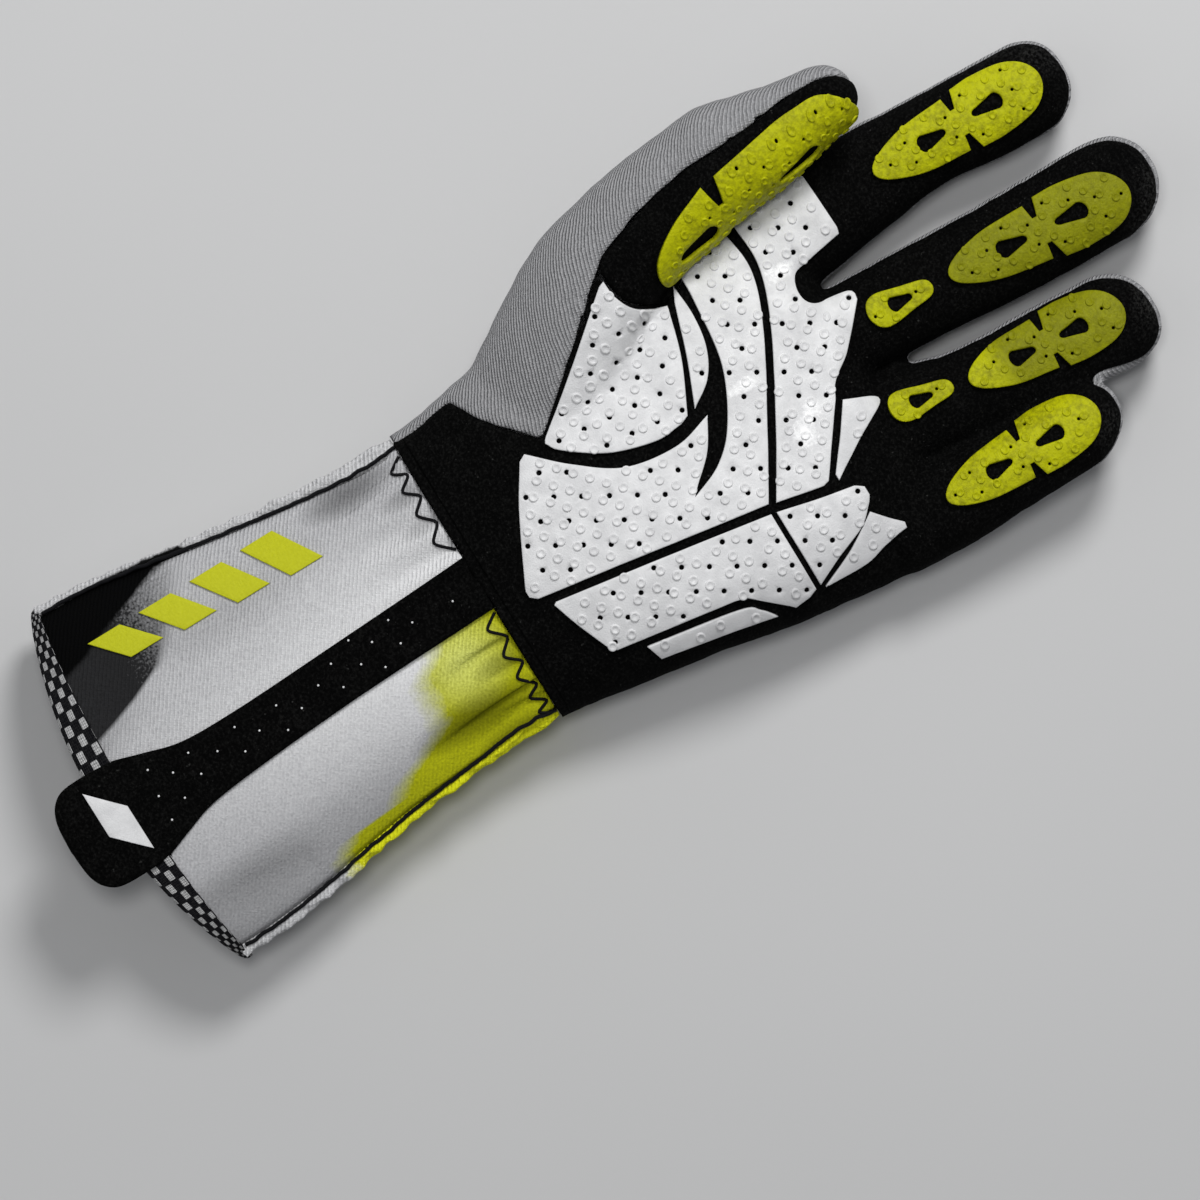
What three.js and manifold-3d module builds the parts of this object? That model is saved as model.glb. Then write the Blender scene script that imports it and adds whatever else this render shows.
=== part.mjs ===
// A left-hand karting glove lying on its back, palm up, in millimetres.
// X runs from the thumb to the little finger, Y from the cuff to the fingertips, Z up from the ground.
// The glove is one hollow hand form. Each sub-part is a layer of that form, cut along its own outline.
import * as THREE from "three";
import { mergeVertices } from "three/addons/utils/BufferGeometryUtils.js";
import Module from "manifold-3d";

// Hand sizes
const PALM_WIDTH = 100;
const PALM_LENGTH = 100;
const PALM_DEPTH = 36;
const PALM_CUP = 4;
const FINGER_DEPTH = 21;
const THUMB_LENGTH = 124;
const THUMB_WIDTH = 30;
const THUMB_DEPTH = 26;

// Cuff sizes
const CUFF_LENGTH = 114;
const CUFF_DEPTH = 34;
const WRIST_WIDTH = 86;
const HEM_WIDTH = 105;
const HEM_ARC = 10;
const HEM_TOP_ARC = 4;
const GATHER_DEPTH = 0.9;
const GATHERS = 10;

// Cloth, leather and rubber thicknesses
const WALL = 1.6;
const GAP = 0.3;
const PANEL_THICKNESS = 0.8;
const PAD_THICKNESS = 1.1;
const CUFF_STEP = 1.3;
const STRAP_THICKNESS = 1;
const SEAM_THICKNESS = 1;
const SEAM_WIDTH = 1.4;
const BAR_THICKNESS = 0.6;
const BINDING_WIDTH = 8.5;
const BINDING_THICKNESS = 0.8;
const TAB_THICKNESS = 2.6;
const TAB_LENGTH = 12;
const PATCH_THICKNESS = 0.6;

// The seam between leather and cloth: its height over the middle, its rise at the tips, and the way that the
// leather faces, in degrees up from the side of the little finger
const SEAM_LIFT = 3;
const FINGER_SEAM_LIFT = 1.6;
const TIP_RISE = 3;
const PALM_TURN = 85;
const FINGER_TURN = 86;

// How finely the faceted form is cut
const BODY_SIDES = 24;
const FINGER_SIDES = 12;
const THUMB_SIDES = 14;
const LINING_SIDES = 0.5;
const CURVE_STEPS = 2;
const DOME_SHARES = [0.45, 0.82, 1];
const DOME_ROUNDNESS = 2.2;
const SECTION_SQUARENESS = 2.3;
const TIP_BLUNTNESS = 0.985;
const HIGH = 90;

const wasm = await Module();
wasm.setup();

// Places on the hand are shares of the palm's width and length, from a point in the middle of the palm.
const across = (share) => share * PALM_WIDTH;
const along = (share) => share * PALM_LENGTH;
const WRIST = along(-0.38);
const HEM = WRIST - CUFF_LENGTH;
const FINGER_ROOTS = along(0.78);
const LINING = -CUFF_STEP - 0.1;

// Sections of the hand: place along the palm, left and right edges, underside, top and palm hollow.
const HAND_SECTIONS = [
  { at: -0.28, left: -0.44, right: 0.443, low: -0.04, top: 0.95, cup: 0 },
  { at: -0.18, left: -0.457, right: 0.463, low: -0.04, top: 0.99, cup: 0 },
  { at: -0.05, left: -0.48, right: 0.483, low: -0.04, top: 1.02, cup: 0.1 },
  { at: 0.1, left: -0.505, right: 0.51, low: -0.04, top: 1.04, cup: 0.5 },
  { at: 0.25, left: -0.51, right: 0.543, low: -0.04, top: 1.02, cup: 1 },
  { at: 0.4, left: -0.505, right: 0.565, low: -0.04, top: 0.95, cup: 1 },
  { at: 0.55, left: -0.495, right: 0.585, low: -0.04, top: 0.87, cup: 0.7 },
  { at: 0.68, left: -0.49, right: 0.6, low: -0.03, top: 0.79, cup: 0.3 },
  { at: 0.74, left: -0.48, right: 0.6, low: 0.03, top: 0.7, cup: 0 },
  { at: 0.775, left: -0.45, right: 0.57, low: 0.15, top: 0.55, cup: 0 },
];

// Sections of the cuff: share of its length from the wrist, share of its flare, depth and gathers.
const CUFF_SECTIONS = [
  { at: 1.16, flare: 0.86, depth: 1, gather: 0 },
  { at: 0.97, flare: 0.95, depth: 1, gather: 0 },
  { at: 0.82, flare: 0.97, depth: 0.98, gather: 0 },
  { at: 0.66, flare: 0.79, depth: 0.95, gather: 0 },
  { at: 0.5, flare: 0.47, depth: 0.92, gather: 0.1 },
  { at: 0.35, flare: 0.24, depth: 0.9, gather: 0.4 },
  { at: 0.2, flare: 0.08, depth: 0.9, gather: 0.8 },
  { at: 0.08, flare: 0, depth: 0.93, gather: 1 },
  { at: 0, flare: 0, depth: 0.97, gather: 0 },
];

// Fingers: root as a share of the palm's width, length past the finger roots, width, tip offset, and
// sections with place along the finger, centre offset and width in finger widths, underside and depth in finger depths.
const FINGERS = {
  index: {
    root: -0.335,
    length: 84.5,
    width: 26,
    tip: 0,
    sections: [
      { at: -0.21, centre: 0.01, width: 1.15, low: 0, depth: 1.28 },
      { at: 0.02, centre: 0, width: 1.18, low: 0.05, depth: 1.14 },
      { at: 0.26, centre: -0.05, width: 1.08, low: 0.1, depth: 1.05 },
      { at: 0.5, centre: -0.06, width: 0.94, low: 0.14, depth: 1 },
      { at: 0.67, centre: -0.01, width: 0.98, low: 0.18, depth: 0.98 },
      { at: 0.85, centre: 0.02, width: 0.98, low: 0.24, depth: 0.93 },
    ],
  },
  middle: {
    root: -0.033,
    length: 91,
    width: 28,
    tip: 0.11,
    sections: [
      { at: -0.2, centre: 0, width: 0.95, low: -0.02, depth: 1.3 },
      { at: 0.02, centre: 0, width: 0.92, low: 0.02, depth: 1.17 },
      { at: 0.24, centre: 0.04, width: 0.92, low: 0.05, depth: 1.1 },
      { at: 0.46, centre: 0.095, width: 0.955, low: 0.1, depth: 1.05 },
      { at: 0.68, centre: 0.127, width: 0.98, low: 0.17, depth: 1.02 },
      { at: 0.82, centre: 0.14, width: 0.99, low: 0.22, depth: 1 },
    ],
  },
  ring: {
    root: 0.233,
    length: 72.5,
    width: 26.5,
    tip: 0.31,
    sections: [
      { at: -0.25, centre: 0, width: 0.96, low: -0.02, depth: 1.25 },
      { at: 0.03, centre: 0, width: 1.01, low: 0, depth: 1.12 },
      { at: 0.3, centre: 0.16, width: 0.945, low: 0.03, depth: 1.04 },
      { at: 0.58, centre: 0.22, width: 0.975, low: 0.08, depth: 1 },
      { at: 0.8, centre: 0.275, width: 1, low: 0.15, depth: 0.97 },
    ],
  },
  little: {
    root: 0.485,
    length: 50.5,
    width: 22.5,
    tip: -0.03,
    sections: [
      { at: -0.35, centre: 0, width: 0.99, low: 0.05, depth: 1.2 },
      { at: 0.04, centre: 0.03, width: 1.05, low: 0.25, depth: 1.03 },
      { at: 0.34, centre: 0.045, width: 0.98, low: 0.4, depth: 0.95 },
      { at: 0.7, centre: 0.065, width: 0.94, low: 0.48, depth: 0.9 },
    ],
  },
};

// Sections of the thumb: share of its length from the heel of the hand, centre as a share of the palm's width,
// width, underside and depth.
const THUMB_HEEL = along(-0.12);
const THUMB_SECTIONS = [
  { at: 0, centre: -0.27, width: 1.27, low: 0.08, depth: 1.08 },
  { at: 0.14, centre: -0.355, width: 1.43, low: 0.08, depth: 1.38 },
  { at: 0.26, centre: -0.445, width: 1.37, low: 0.23, depth: 1.38 },
  { at: 0.38, centre: -0.512, width: 1.18, low: 0.38, depth: 1.3 },
  { at: 0.5, centre: -0.556, width: 1.06, low: 0.54, depth: 1.19 },
  { at: 0.6, centre: -0.572, width: 1.02, low: 0.66, depth: 1.09 },
  { at: 0.685, centre: -0.586, width: 0.98, low: 0.75, depth: 1 },
  { at: 0.775, centre: -0.578, width: 0.86, low: 0.83, depth: 0.9 },
  { at: 0.863, centre: -0.576, width: 0.69, low: 0.89, depth: 0.82 },
  { at: 0.911, centre: -0.579, width: 0.61, low: 0.92, depth: 0.77 },
];
const THUMB_TIP = -0.572;
const THUMB_TURN = 30;
const THUMB_WEB = along(0.48);
const TOUCH_GAP = 0.6;

// A section of a tube in a plane across Y, grown outwards by an offset
function section(y, centre, halfWidth, low, top, extra) {
  return { y, centre, halfWidth, low, top, cup: 0, gather: 0, ...extra };
}

function cuffSections() {
  return CUFF_SECTIONS.map((row) => {
    const flared = HEM_WIDTH / 2 + CUFF_STEP - WRIST_WIDTH / 2;
    return section(
      WRIST - row.at * CUFF_LENGTH,
      0,
      WRIST_WIDTH / 2 + row.flare * flared,
      HAND_SECTIONS[0].low * PALM_DEPTH,
      row.depth * CUFF_DEPTH,
      { gather: row.gather * GATHER_DEPTH },
    );
  });
}

function handSections() {
  return HAND_SECTIONS.map((row) =>
    section(
      along(row.at),
      across((row.left + row.right) / 2),
      across((row.right - row.left) / 2),
      row.low * PALM_DEPTH,
      row.top * PALM_DEPTH,
      { cup: row.cup * PALM_CUP },
    ),
  );
}

function fingerSections(finger) {
  return finger.sections.map((row) =>
    section(
      FINGER_ROOTS + row.at * finger.length,
      across(finger.root) + row.centre * finger.width,
      (row.width * finger.width) / 2,
      row.low * FINGER_DEPTH,
      (row.low + row.depth) * FINGER_DEPTH,
    ),
  );
}

function thumbSections() {
  return THUMB_SECTIONS.map((row) =>
    section(
      THUMB_HEEL + row.at * THUMB_LENGTH,
      across(row.centre),
      (row.width * THUMB_WIDTH) / 2,
      row.low * THUMB_DEPTH,
      (row.low + row.depth) * THUMB_DEPTH,
    ),
  );
}

const BODY = { sides: BODY_SIDES, turn: PALM_TURN, sections: [...cuffSections(), ...handSections()] };
const DIGITS = Object.fromEntries(
  Object.entries(FINGERS).map(([name, finger]) => [
    name,
    {
      sides: FINGER_SIDES,
      turn: name === "little" ? 90 : FINGER_TURN,
      sections: fingerSections(finger),
      tipY: FINGER_ROOTS + finger.length,
      tipX: across(finger.root) + finger.tip * finger.width,
    },
  ]),
);
const THUMB = {
  sides: THUMB_SIDES,
  turn: THUMB_TURN,
  sections: thumbSections(),
  tipY: THUMB_HEEL + THUMB_LENGTH,
  tipX: across(THUMB_TIP),
};

// The round tip of a digit, as further sections that shrink to a small flat end
function tipSections(tube, grow) {
  const last = tube.sections.at(-1);
  const reach = tube.tipY + grow - last.y;
  const middle = (last.low + last.top) / 2;
  return DOME_SHARES.map((share) => {
    const s = share * TIP_BLUNTNESS;
    const shrink = (1 - s ** DOME_ROUNDNESS) ** (1 / DOME_ROUNDNESS);
    return {
      ...last,
      y: last.y + reach * share,
      centre: THREE.MathUtils.lerp(last.centre, tube.tipX, share ** 2),
      halfWidth: (last.halfWidth + grow) * shrink,
      low: middle + (last.low - grow - middle) * shrink,
      top: middle + (last.top + grow - middle) * shrink,
    };
  });
}

// The corners of a section: a squared-off oval, with the palm's hollow and the gathers
function ringOf(s, sides) {
  const power = 2 / SECTION_SQUARENESS;
  const middle = (s.low + s.top) / 2;
  return Array.from({ length: sides }, (_, i) => {
    const angle = (i / sides) * 2 * Math.PI;
    const ripple = 1 + (s.gather * Math.cos(GATHERS * angle)) / s.halfWidth;
    const c = Math.cos(angle);
    const h = Math.sin(angle);
    const x = Math.sign(c) * Math.abs(c) ** power * s.halfWidth * ripple;
    const z = Math.sign(h) * Math.abs(h) ** power * ((s.top - s.low) / 2 + s.gather * Math.cos(GATHERS * angle));
    const hollow = s.cup * Math.max(0, h) ** 6;
    return new THREE.Vector3(s.centre + x, s.y, middle + z - hollow);
  });
}

// A closed solid through rings of the same number of corners
function loft(rings) {
  const sides = rings[0].length;
  const points = rings.flat();
  const faces = [];
  for (let r = 0; r + 1 < rings.length; r++)
    for (let i = 0; i < sides; i++) {
      const a = r * sides + i;
      const b = r * sides + ((i + 1) % sides);
      faces.push(a, a + sides, b, b, a + sides, b + sides);
    }
  const last = points.length - sides;
  for (let i = 1; i + 1 < sides; i++) {
    faces.push(0, i, i + 1);
    faces.push(last, last + i + 1, last + i);
  }
  const geometry = new THREE.BufferGeometry().setFromPoints(points);
  geometry.setIndex(faces);
  return solid(geometry);
}

// A manifold-3d solid of a closed three.js geometry
function solid(geometry) {
  const bare = geometry.clone();
  bare.deleteAttribute("normal");
  bare.deleteAttribute("uv");
  const merged = mergeVertices(bare, 1e-4);
  return new wasm.Manifold(
    new wasm.Mesh({
      numProp: 3,
      vertProperties: merged.getAttribute("position").array,
      triVerts: new Uint32Array(merged.index.array),
    }),
  );
}

function grown(s, grow) {
  return { ...s, halfWidth: s.halfWidth + grow, low: s.low - grow, top: s.top + grow };
}

// A tube of the hand, with its surface moved outwards. The lining is cut with fewer sides.
function tube(t, grow = 0) {
  const sections = t.sections.map((s) => grown(s, grow));
  if (t.tipY) sections.push(...tipSections(t, grow));
  const sides = grow < LINING ? 2 * Math.round((t.sides * LINING_SIDES) / 2) : t.sides;
  return loft(sections.map((s) => ringOf(s, sides)));
}

const joined = (solids) => solids.reduce((all, one) => all.add(one));

// A block between two corners, as a solid
function block(low, high) {
  const size = high.map((v, i) => v - low[i]);
  const geometry = new THREE.BoxGeometry(...size);
  geometry.translate(...low.map((v, i) => v + size[i] / 2));
  return solid(geometry);
}

const FAR = 400;
const above = (z) => block([-FAR, -FAR, z], [FAR, FAR, FAR]);

// The palm keeps clear of the free thumb that lies over it, and the ring finger of the little finger.
function palmTube(grow) {
  const free = block([-FAR, THUMB_WEB + grow, -FAR], [FAR, FAR, FAR]);
  return tube(BODY, grow).subtract(tube(THUMB, TOUCH_GAP - grow).intersect(free));
}

function fingerTube(name, grow) {
  const made = tube(DIGITS[name], grow);
  return name === "ring" ? made.subtract(tube(DIGITS.little, TOUCH_GAP - grow)) : made;
}

// The hand form with its surface moved outwards, flattened where it lies on the ground
const forms = new Map();
function form(grow, { thumb = true } = {}) {
  const key = `${grow} ${thumb}`;
  if (!forms.has(key)) {
    const base = tube(THUMB, grow);
    const parts = [palmTube(grow), ...Object.keys(DIGITS).map((name) => fingerTube(name, grow))];
    parts.push(thumb ? base : base.intersect(block([-FAR, -FAR, -FAR], [FAR, along(0.42), FAR])));
    forms.set(key, joined(parts).intersect(above(-grow)));
  }
  return forms.get(key);
}

// A layer of the form between two offsets from its surface
const layer = (outer, inner, options) => form(outer, options).subtract(form(inner, options));

// An outline is a list of stretches. Each is a smooth curve through its points, and a stretch of two is straight.
function outlinePoints(stretches, place) {
  const points = [];
  for (const stretch of stretches) {
    const knots = stretch.map(([a, b]) => new THREE.Vector2(...place(a, b)));
    if (knots.length === 2) points.push(...knots);
    else points.push(...new THREE.SplineCurve(knots).getPoints(CURVE_STEPS * (knots.length - 1)));
  }
  const apart = points.filter((p, i) => p.distanceTo(points[(i + 1) % points.length]) > 0.05);
  return THREE.ShapeUtils.isClockWise(apart) ? apart.reverse() : apart;
}

// The same outline moved outwards by a distance
function spread(points, distance) {
  return points.map((p, i) => {
    const before = points[(i + points.length - 1) % points.length];
    const after = points[(i + 1) % points.length];
    const a = p.clone().sub(before).normalize();
    const b = after.clone().sub(p).normalize();
    const normal = new THREE.Vector2(a.y + b.y, -a.x - b.x).normalize();
    const stretch = 1 / Math.max(0.5, normal.x * a.y - normal.y * a.x);
    return p.clone().addScaledVector(normal, distance * stretch);
  });
}

// A straight-sided solid on a plan outline, between two heights
function prism(points, low = -HIGH, high = HIGH, holes = []) {
  const shape = new THREE.Shape(points);
  shape.holes = holes.map((h) => new THREE.Path(h));
  const geometry = new THREE.ExtrudeGeometry(shape, { depth: high - low, bevelEnabled: false });
  geometry.translate(0, 0, low);
  return solid(geometry);
}

const onPalm = (a, b) => [across(a), along(b)];

// The leather face of the hand, seen from above: its edge against the cloth of the thumb's base
const PALM_OUTLINE = [
  [[-0.7, -0.375], [-0.7, -0.3], [-0.445, -0.21]],
  [[-0.445, -0.21], [-0.34, -0.155], [-0.21, -0.047]],
  [[-0.21, -0.047], [-0.36, 0.135], [-0.505, 0.305]],
  [[-0.505, 0.305], [-0.49, 0.5], [-0.49, 0.76]],
  [[-0.6, 0.9], [0.8, 0.9]],
  [[0.8, 0.9], [0.8, -0.375]],
];

// The leather face of the thumb, whose lower end is an arc on the palm
const THUMB_OUTLINE = [
  [[-0.5, 0.3], [-0.53, 0.33], [-0.545, 0.38], [-0.58, 0.49], [-0.605, 0.62]],
  [[-0.605, 0.62], [-0.61, 0.8], [-0.63, 0.95], [-0.627, 1.04], [-0.6, 1.2]],
  [[-0.25, 1.2], [-0.25, 0.6]],
  [[-0.25, 0.6], [-0.35, 0.47], [-0.338, 0.41]],
  [[-0.338, 0.41], [-0.375, 0.34], [-0.43, 0.307], [-0.5, 0.3]],
];

// Upper or facing half of a tube, as a solid that follows the tube's middle
function facing(t, grow, lift) {
  const far = HIGH;
  const sections = [...t.sections];
  const last = sections.at(-1);
  sections.push({ ...last, y: (t.tipY ?? last.y) + 5, centre: t.tipX ?? last.centre });
  const rings = sections.map((s, i) => {
    const rise = t.tipY && i === sections.length - 1 ? TIP_RISE : 0;
    const turn = THREE.MathUtils.degToRad(t.turn);
    const out = new THREE.Vector3(Math.cos(turn), 0, Math.sin(turn));
    const side = new THREE.Vector3(-out.z, 0, out.x);
    const middle = new THREE.Vector3(s.centre, s.y, (s.low + s.top) / 2).addScaledVector(out, lift + rise - grow);
    return [
      [-far, 0],
      [far, 0],
      [far, far],
      [-far, far],
    ].map(([a, b]) => middle.clone().addScaledVector(side, -a).addScaledVector(out, b));
  });
  return loft(rings);
}

// Space taken by the leather of the palm and fingers, widened by a clearance
function palmSpace(clearance) {
  const outline = spread(outlinePoints(PALM_OUTLINE, onPalm), clearance);
  const body = prism(outline).intersect(facing(BODY, clearance, SEAM_LIFT));
  const roots = block([-FAR, FINGER_ROOTS - along(0.15), 0], [FAR, FAR, FAR]);
  const fingers = Object.values(DIGITS).map((d) =>
    tube(d, 1 + clearance).intersect(facing(d, clearance, FINGER_SEAM_LIFT)).intersect(roots),
  );
  return joined([body, ...fingers]);
}

// Space taken by the leather of the thumb, widened by a clearance
function thumbSpace(clearance) {
  const outline = spread(outlinePoints(THUMB_OUTLINE, onPalm), clearance);
  return tube(THUMB, 1 + clearance).intersect(facing(THUMB, clearance, 0)).intersect(prism(outline));
}

const largest = (s) => s.decompose().sort((a, b) => b.volume() - a.volume())[0];

const glove = new THREE.Group();

const MATERIALS = {
  cloth: new THREE.MeshStandardMaterial({ color: 0xc4c4c6, roughness: 0.9, metalness: 0 }),
  leather: new THREE.MeshStandardMaterial({ color: 0x0a0a0a, roughness: 0.95, metalness: 0 }),
  grip: new THREE.MeshStandardMaterial({ color: 0xe2e2e2, roughness: 0.55, metalness: 0 }),
  rubber: new THREE.MeshStandardMaterial({ color: 0xc6cc08, roughness: 0.5, metalness: 0 }),
  tape: new THREE.MeshStandardMaterial({ color: 0x55565e, roughness: 0.8, metalness: 0 }),
  cord: new THREE.MeshStandardMaterial({ color: 0x0c0c10, roughness: 0.8, metalness: 0 }),
};

// Adds one sub-part: the largest body of a solid, as a named mesh
function add(name, made, material) {
  const mesh = largest(made).getMesh();
  const n = mesh.numProp;
  const positions = new Float32Array(mesh.numVert * 3);
  for (let i = 0; i < mesh.numVert; i++) positions.set(mesh.vertProperties.subarray(i * n, i * n + 3), i * 3);
  const geometry = new THREE.BufferGeometry();
  geometry.setAttribute("position", new THREE.BufferAttribute(positions, 3));
  geometry.setIndex(new THREE.BufferAttribute(mesh.triVerts, 1));
  const flat = geometry.toNonIndexed();
  flat.computeVertexNormals();
  const part = new THREE.Mesh(flat, MATERIALS[material]);
  part.name = name;
  glove.add(part);
}

// Hand: leather palm, leather thumb face and cloth back
const wall = layer(0, -WALL);
const handOnly = block([-FAR, WRIST, -FAR], [FAR, FAR, FAR]);
const handWall = wall.intersect(handOnly);
const palmLeather = handWall.intersect(palmSpace(0)).subtract(thumbSpace(GAP));
add("palm_leather", palmLeather, "leather");
add("thumb_leather", handWall.intersect(thumbSpace(0)), "leather");
add("back_cloth", handWall.subtract(palmSpace(GAP)).subtract(thumbSpace(GAP)), "cloth");

// Grip panels on the palm
const GRIP_PANELS = {
  thenar: [
    [[-0.47, 0.3], [-0.42, 0.305], [-0.37, 0.335], [-0.335, 0.41]],
    [[-0.33, 0.41], [-0.2, 0.37], [-0.065, 0.305]],
    [[-0.055, 0.28], [-0.052, 0.2], [-0.09, 0.08], [-0.16, -0.02], [-0.195, -0.045]],
    [[-0.205, -0.04], [-0.33, 0.12], [-0.465, 0.285]],
  ],
  crescent: [
    [[-0.37, 0.45], [-0.28, 0.455], [-0.19, 0.44], [-0.12, 0.4], [-0.07, 0.33]],
    [[-0.07, 0.33], [-0.2, 0.385], [-0.33, 0.43]],
  ],
  centre: [
    [[-0.2, -0.105], [-0.11, -0.01], [-0.035, 0.1], [-0.013, 0.24], [-0.04, 0.35]],
    [[-0.04, 0.35], [0.04, 0.3], [0.1, 0.235], [0.125, 0.21]],
    [[0.125, 0.21], [0.085, 0.305], [0.01, 0.38], [-0.13, 0.45], [-0.3, 0.475], [-0.38, 0.48]],
    [[-0.38, 0.48], [-0.415, 0.56], [-0.425, 0.635]],
    [[-0.425, 0.635], [-0.3, 0.645], [-0.15, 0.59], [0.08, 0.46], [0.24, 0.363]],
    [[0.24, 0.363], [0.21, 0.18], [0.17, -0.05], [0.135, -0.27]],
    [[0.12, -0.287], [0.1, -0.287]],
    [[0.1, -0.287], [-0.08, -0.195], [-0.19, -0.125]],
  ],
  index: [
    [[-0.425, 0.667], [-0.44, 0.78], [-0.445, 0.88]],
    [[-0.435, 0.89], [-0.28, 0.895]],
    [[-0.265, 0.89], [-0.25, 0.8], [-0.235, 0.738], [-0.185, 0.717], [-0.14, 0.738], [-0.12, 0.83], [-0.105, 0.845]],
    [[-0.09, 0.842], [0, 0.755], [0.06, 0.68], [0.1, 0.655]],
    [[0.1, 0.655], [0.18, 0.595], [0.27, 0.528]],
    [[0.275, 0.51], [0.247, 0.382]],
    [[0.247, 0.382], [0.08, 0.485], [-0.15, 0.612], [-0.3, 0.667], [-0.425, 0.667]],
  ],
  ring: [
    [[0.11, 0.67], [0.14, 0.735], [0.158, 0.75], [0.175, 0.735], [0.22, 0.655], [0.283, 0.552]],
    [[0.265, 0.552], [0.18, 0.62], [0.11, 0.67]],
  ],
  little: [
    [[0.268, 0.37], [0.295, 0.48], [0.315, 0.58]],
    [[0.33, 0.6], [0.355, 0.6]],
    [[0.37, 0.59], [0.415, 0.54], [0.45, 0.45], [0.485, 0.37]],
  ],
  edge: [
    [[0.393, 0.578], [0.43, 0.61], [0.465, 0.643]],
    [[0.48, 0.64], [0.487, 0.57], [0.502, 0.5], [0.497, 0.38]],
    [[0.495, 0.38], [0.45, 0.485], [0.393, 0.578]],
  ],
  heel: [
    [[0.265, 0.355], [0.488, 0.355]],
    [[0.497, 0.33], [0.5, 0.285]],
    [[0.49, 0.275], [0.415, 0.19]],
    [[0.405, 0.16], [0.375, -0.02], [0.352, -0.165]],
    [[0.34, -0.18], [0.24, -0.22], [0.17, -0.243]],
    [[0.165, -0.235], [0.21, 0.04], [0.265, 0.355]],
  ],
  side: [
    [[0.495, 0.235], [0.465, 0.1], [0.43, -0.08]],
    [[0.43, -0.08], [0.385, -0.095]],
    [[0.385, -0.095], [0.43, 0.155], [0.46, 0.205], [0.495, 0.235]],
  ],
};
const freeThumb = block([-FAR, along(0.42), -FAR], [FAR, FAR, FAR]);
const thumbRoom = tube(THUMB, PAD_THICKNESS + 2 * GAP).intersect(freeThumb);
const panelLayer = layer(GAP + PANEL_THICKNESS, GAP, { thumb: false })
  .intersect(above(PALM_DEPTH / 3))
  .subtract(thumbRoom);
for (const [name, outline] of Object.entries(GRIP_PANELS)) {
  add(`grip_${name}`, panelLayer.intersect(prism(outlinePoints(outline, onPalm))), "grip");
}

// Rubber pads: half-widths at shares of the length, and teardrop holes
const PAD_SIDE = [
  [[0, 0], [0.4, 0.06], [0.74, 0.24], [0.865, 0.49]],
  [[0.865, 0.5], [0.42, 0.51]],
  [[0.42, 0.535], [0.97, 0.565]],
  [[0.97, 0.57], [1, 0.7], [0.87, 0.87], [0.52, 0.965], [0, 1]],
];
const PAD_HOLES = [
  { low: 0.27, high: 0.435, lowWidth: 0.27, highWidth: 0.13, middle: 0 },
  { low: 0.595, high: 0.775, lowWidth: 0.13, highWidth: 0.26, middle: 0 },
];
const BASE_PAD_SIDE = [[[0, 0], [0.75, 0.07], [1, 0.25], [0.75, 0.6], [0.5, 0.92], [0, 1]]];
const BASE_PAD_HOLES = [{ low: 0.32, high: 0.68, lowWidth: 0.45, highWidth: 0.22, middle: 0 }];

// A symmetric pad outline in its own frame, placed by a function of side and length shares
function mirrored(side, place) {
  const right = outlinePoints(side, (a, b) => [a, b]);
  const sorted = right[0].y < right.at(-1).y ? right : right.reverse();
  const left = sorted.slice(1, -1).map((p) => new THREE.Vector2(-p.x, p.y)).reverse();
  return [...sorted, ...left].map((p) => new THREE.Vector2(...place(p.x, p.y)));
}

function teardrop({ low, high, lowWidth, highWidth, middle }, place) {
  const corners = [
    [-lowWidth * 0.6, low],
    [lowWidth * 0.6, low],
    [lowWidth, low + 0.25 * (high - low)],
    [highWidth, high - 0.2 * (high - low)],
    [highWidth * 0.6, high],
    [-highWidth * 0.6, high],
    [-highWidth, high - 0.2 * (high - low)],
    [-lowWidth, low + 0.25 * (high - low)],
  ];
  return corners.map(([a, b]) => new THREE.Vector2(...place(middle + a, b)));
}

// Pads: finger, ends as shares of the finger's length, centre offsets at both ends and half-width in finger widths
const PADS = [
  { finger: "index", low: 0.318, high: 0.909, from: -0.045, to: -0.02, half: 0.321, base: false },
  { finger: "middle", low: 0.325, high: 0.89, from: 0.061, to: 0.214, half: 0.309, base: false },
  { finger: "ring", low: 0.272, high: 0.88, from: 0.045, to: 0.185, half: 0.302, base: false },
  { finger: "little", low: -0.03, high: 0.869, from: -0.045, to: -0.045, half: 0.34, base: false },
  { finger: "middle", low: 0.067, high: 0.271, from: -0.01, to: 0.04, half: 0.16, base: true },
  { finger: "ring", low: -0.03, high: 0.216, from: -0.11, to: -0.02, half: 0.155, base: true },
];

const padLayer = layer(GAP + PAD_THICKNESS, GAP, { thumb: false });
for (const pad of PADS) {
  const finger = FINGERS[pad.finger];
  const place = (a, b) => [
    across(finger.root) + finger.width * (THREE.MathUtils.lerp(pad.from, pad.to, b) + a * pad.half),
    FINGER_ROOTS + finger.length * THREE.MathUtils.lerp(pad.low, pad.high, b),
  ];
  const side = pad.base ? BASE_PAD_SIDE : PAD_SIDE;
  const holes = (pad.base ? BASE_PAD_HOLES : PAD_HOLES).map((h) => teardrop(h, place));
  const cut = prism(mirrored(side, place), FINGER_DEPTH / 2, HIGH, holes);
  const name = pad.base ? `pad_${pad.finger}_base` : `pad_${pad.finger}`;
  add(name, padLayer.intersect(cut), "rubber");
}

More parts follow.
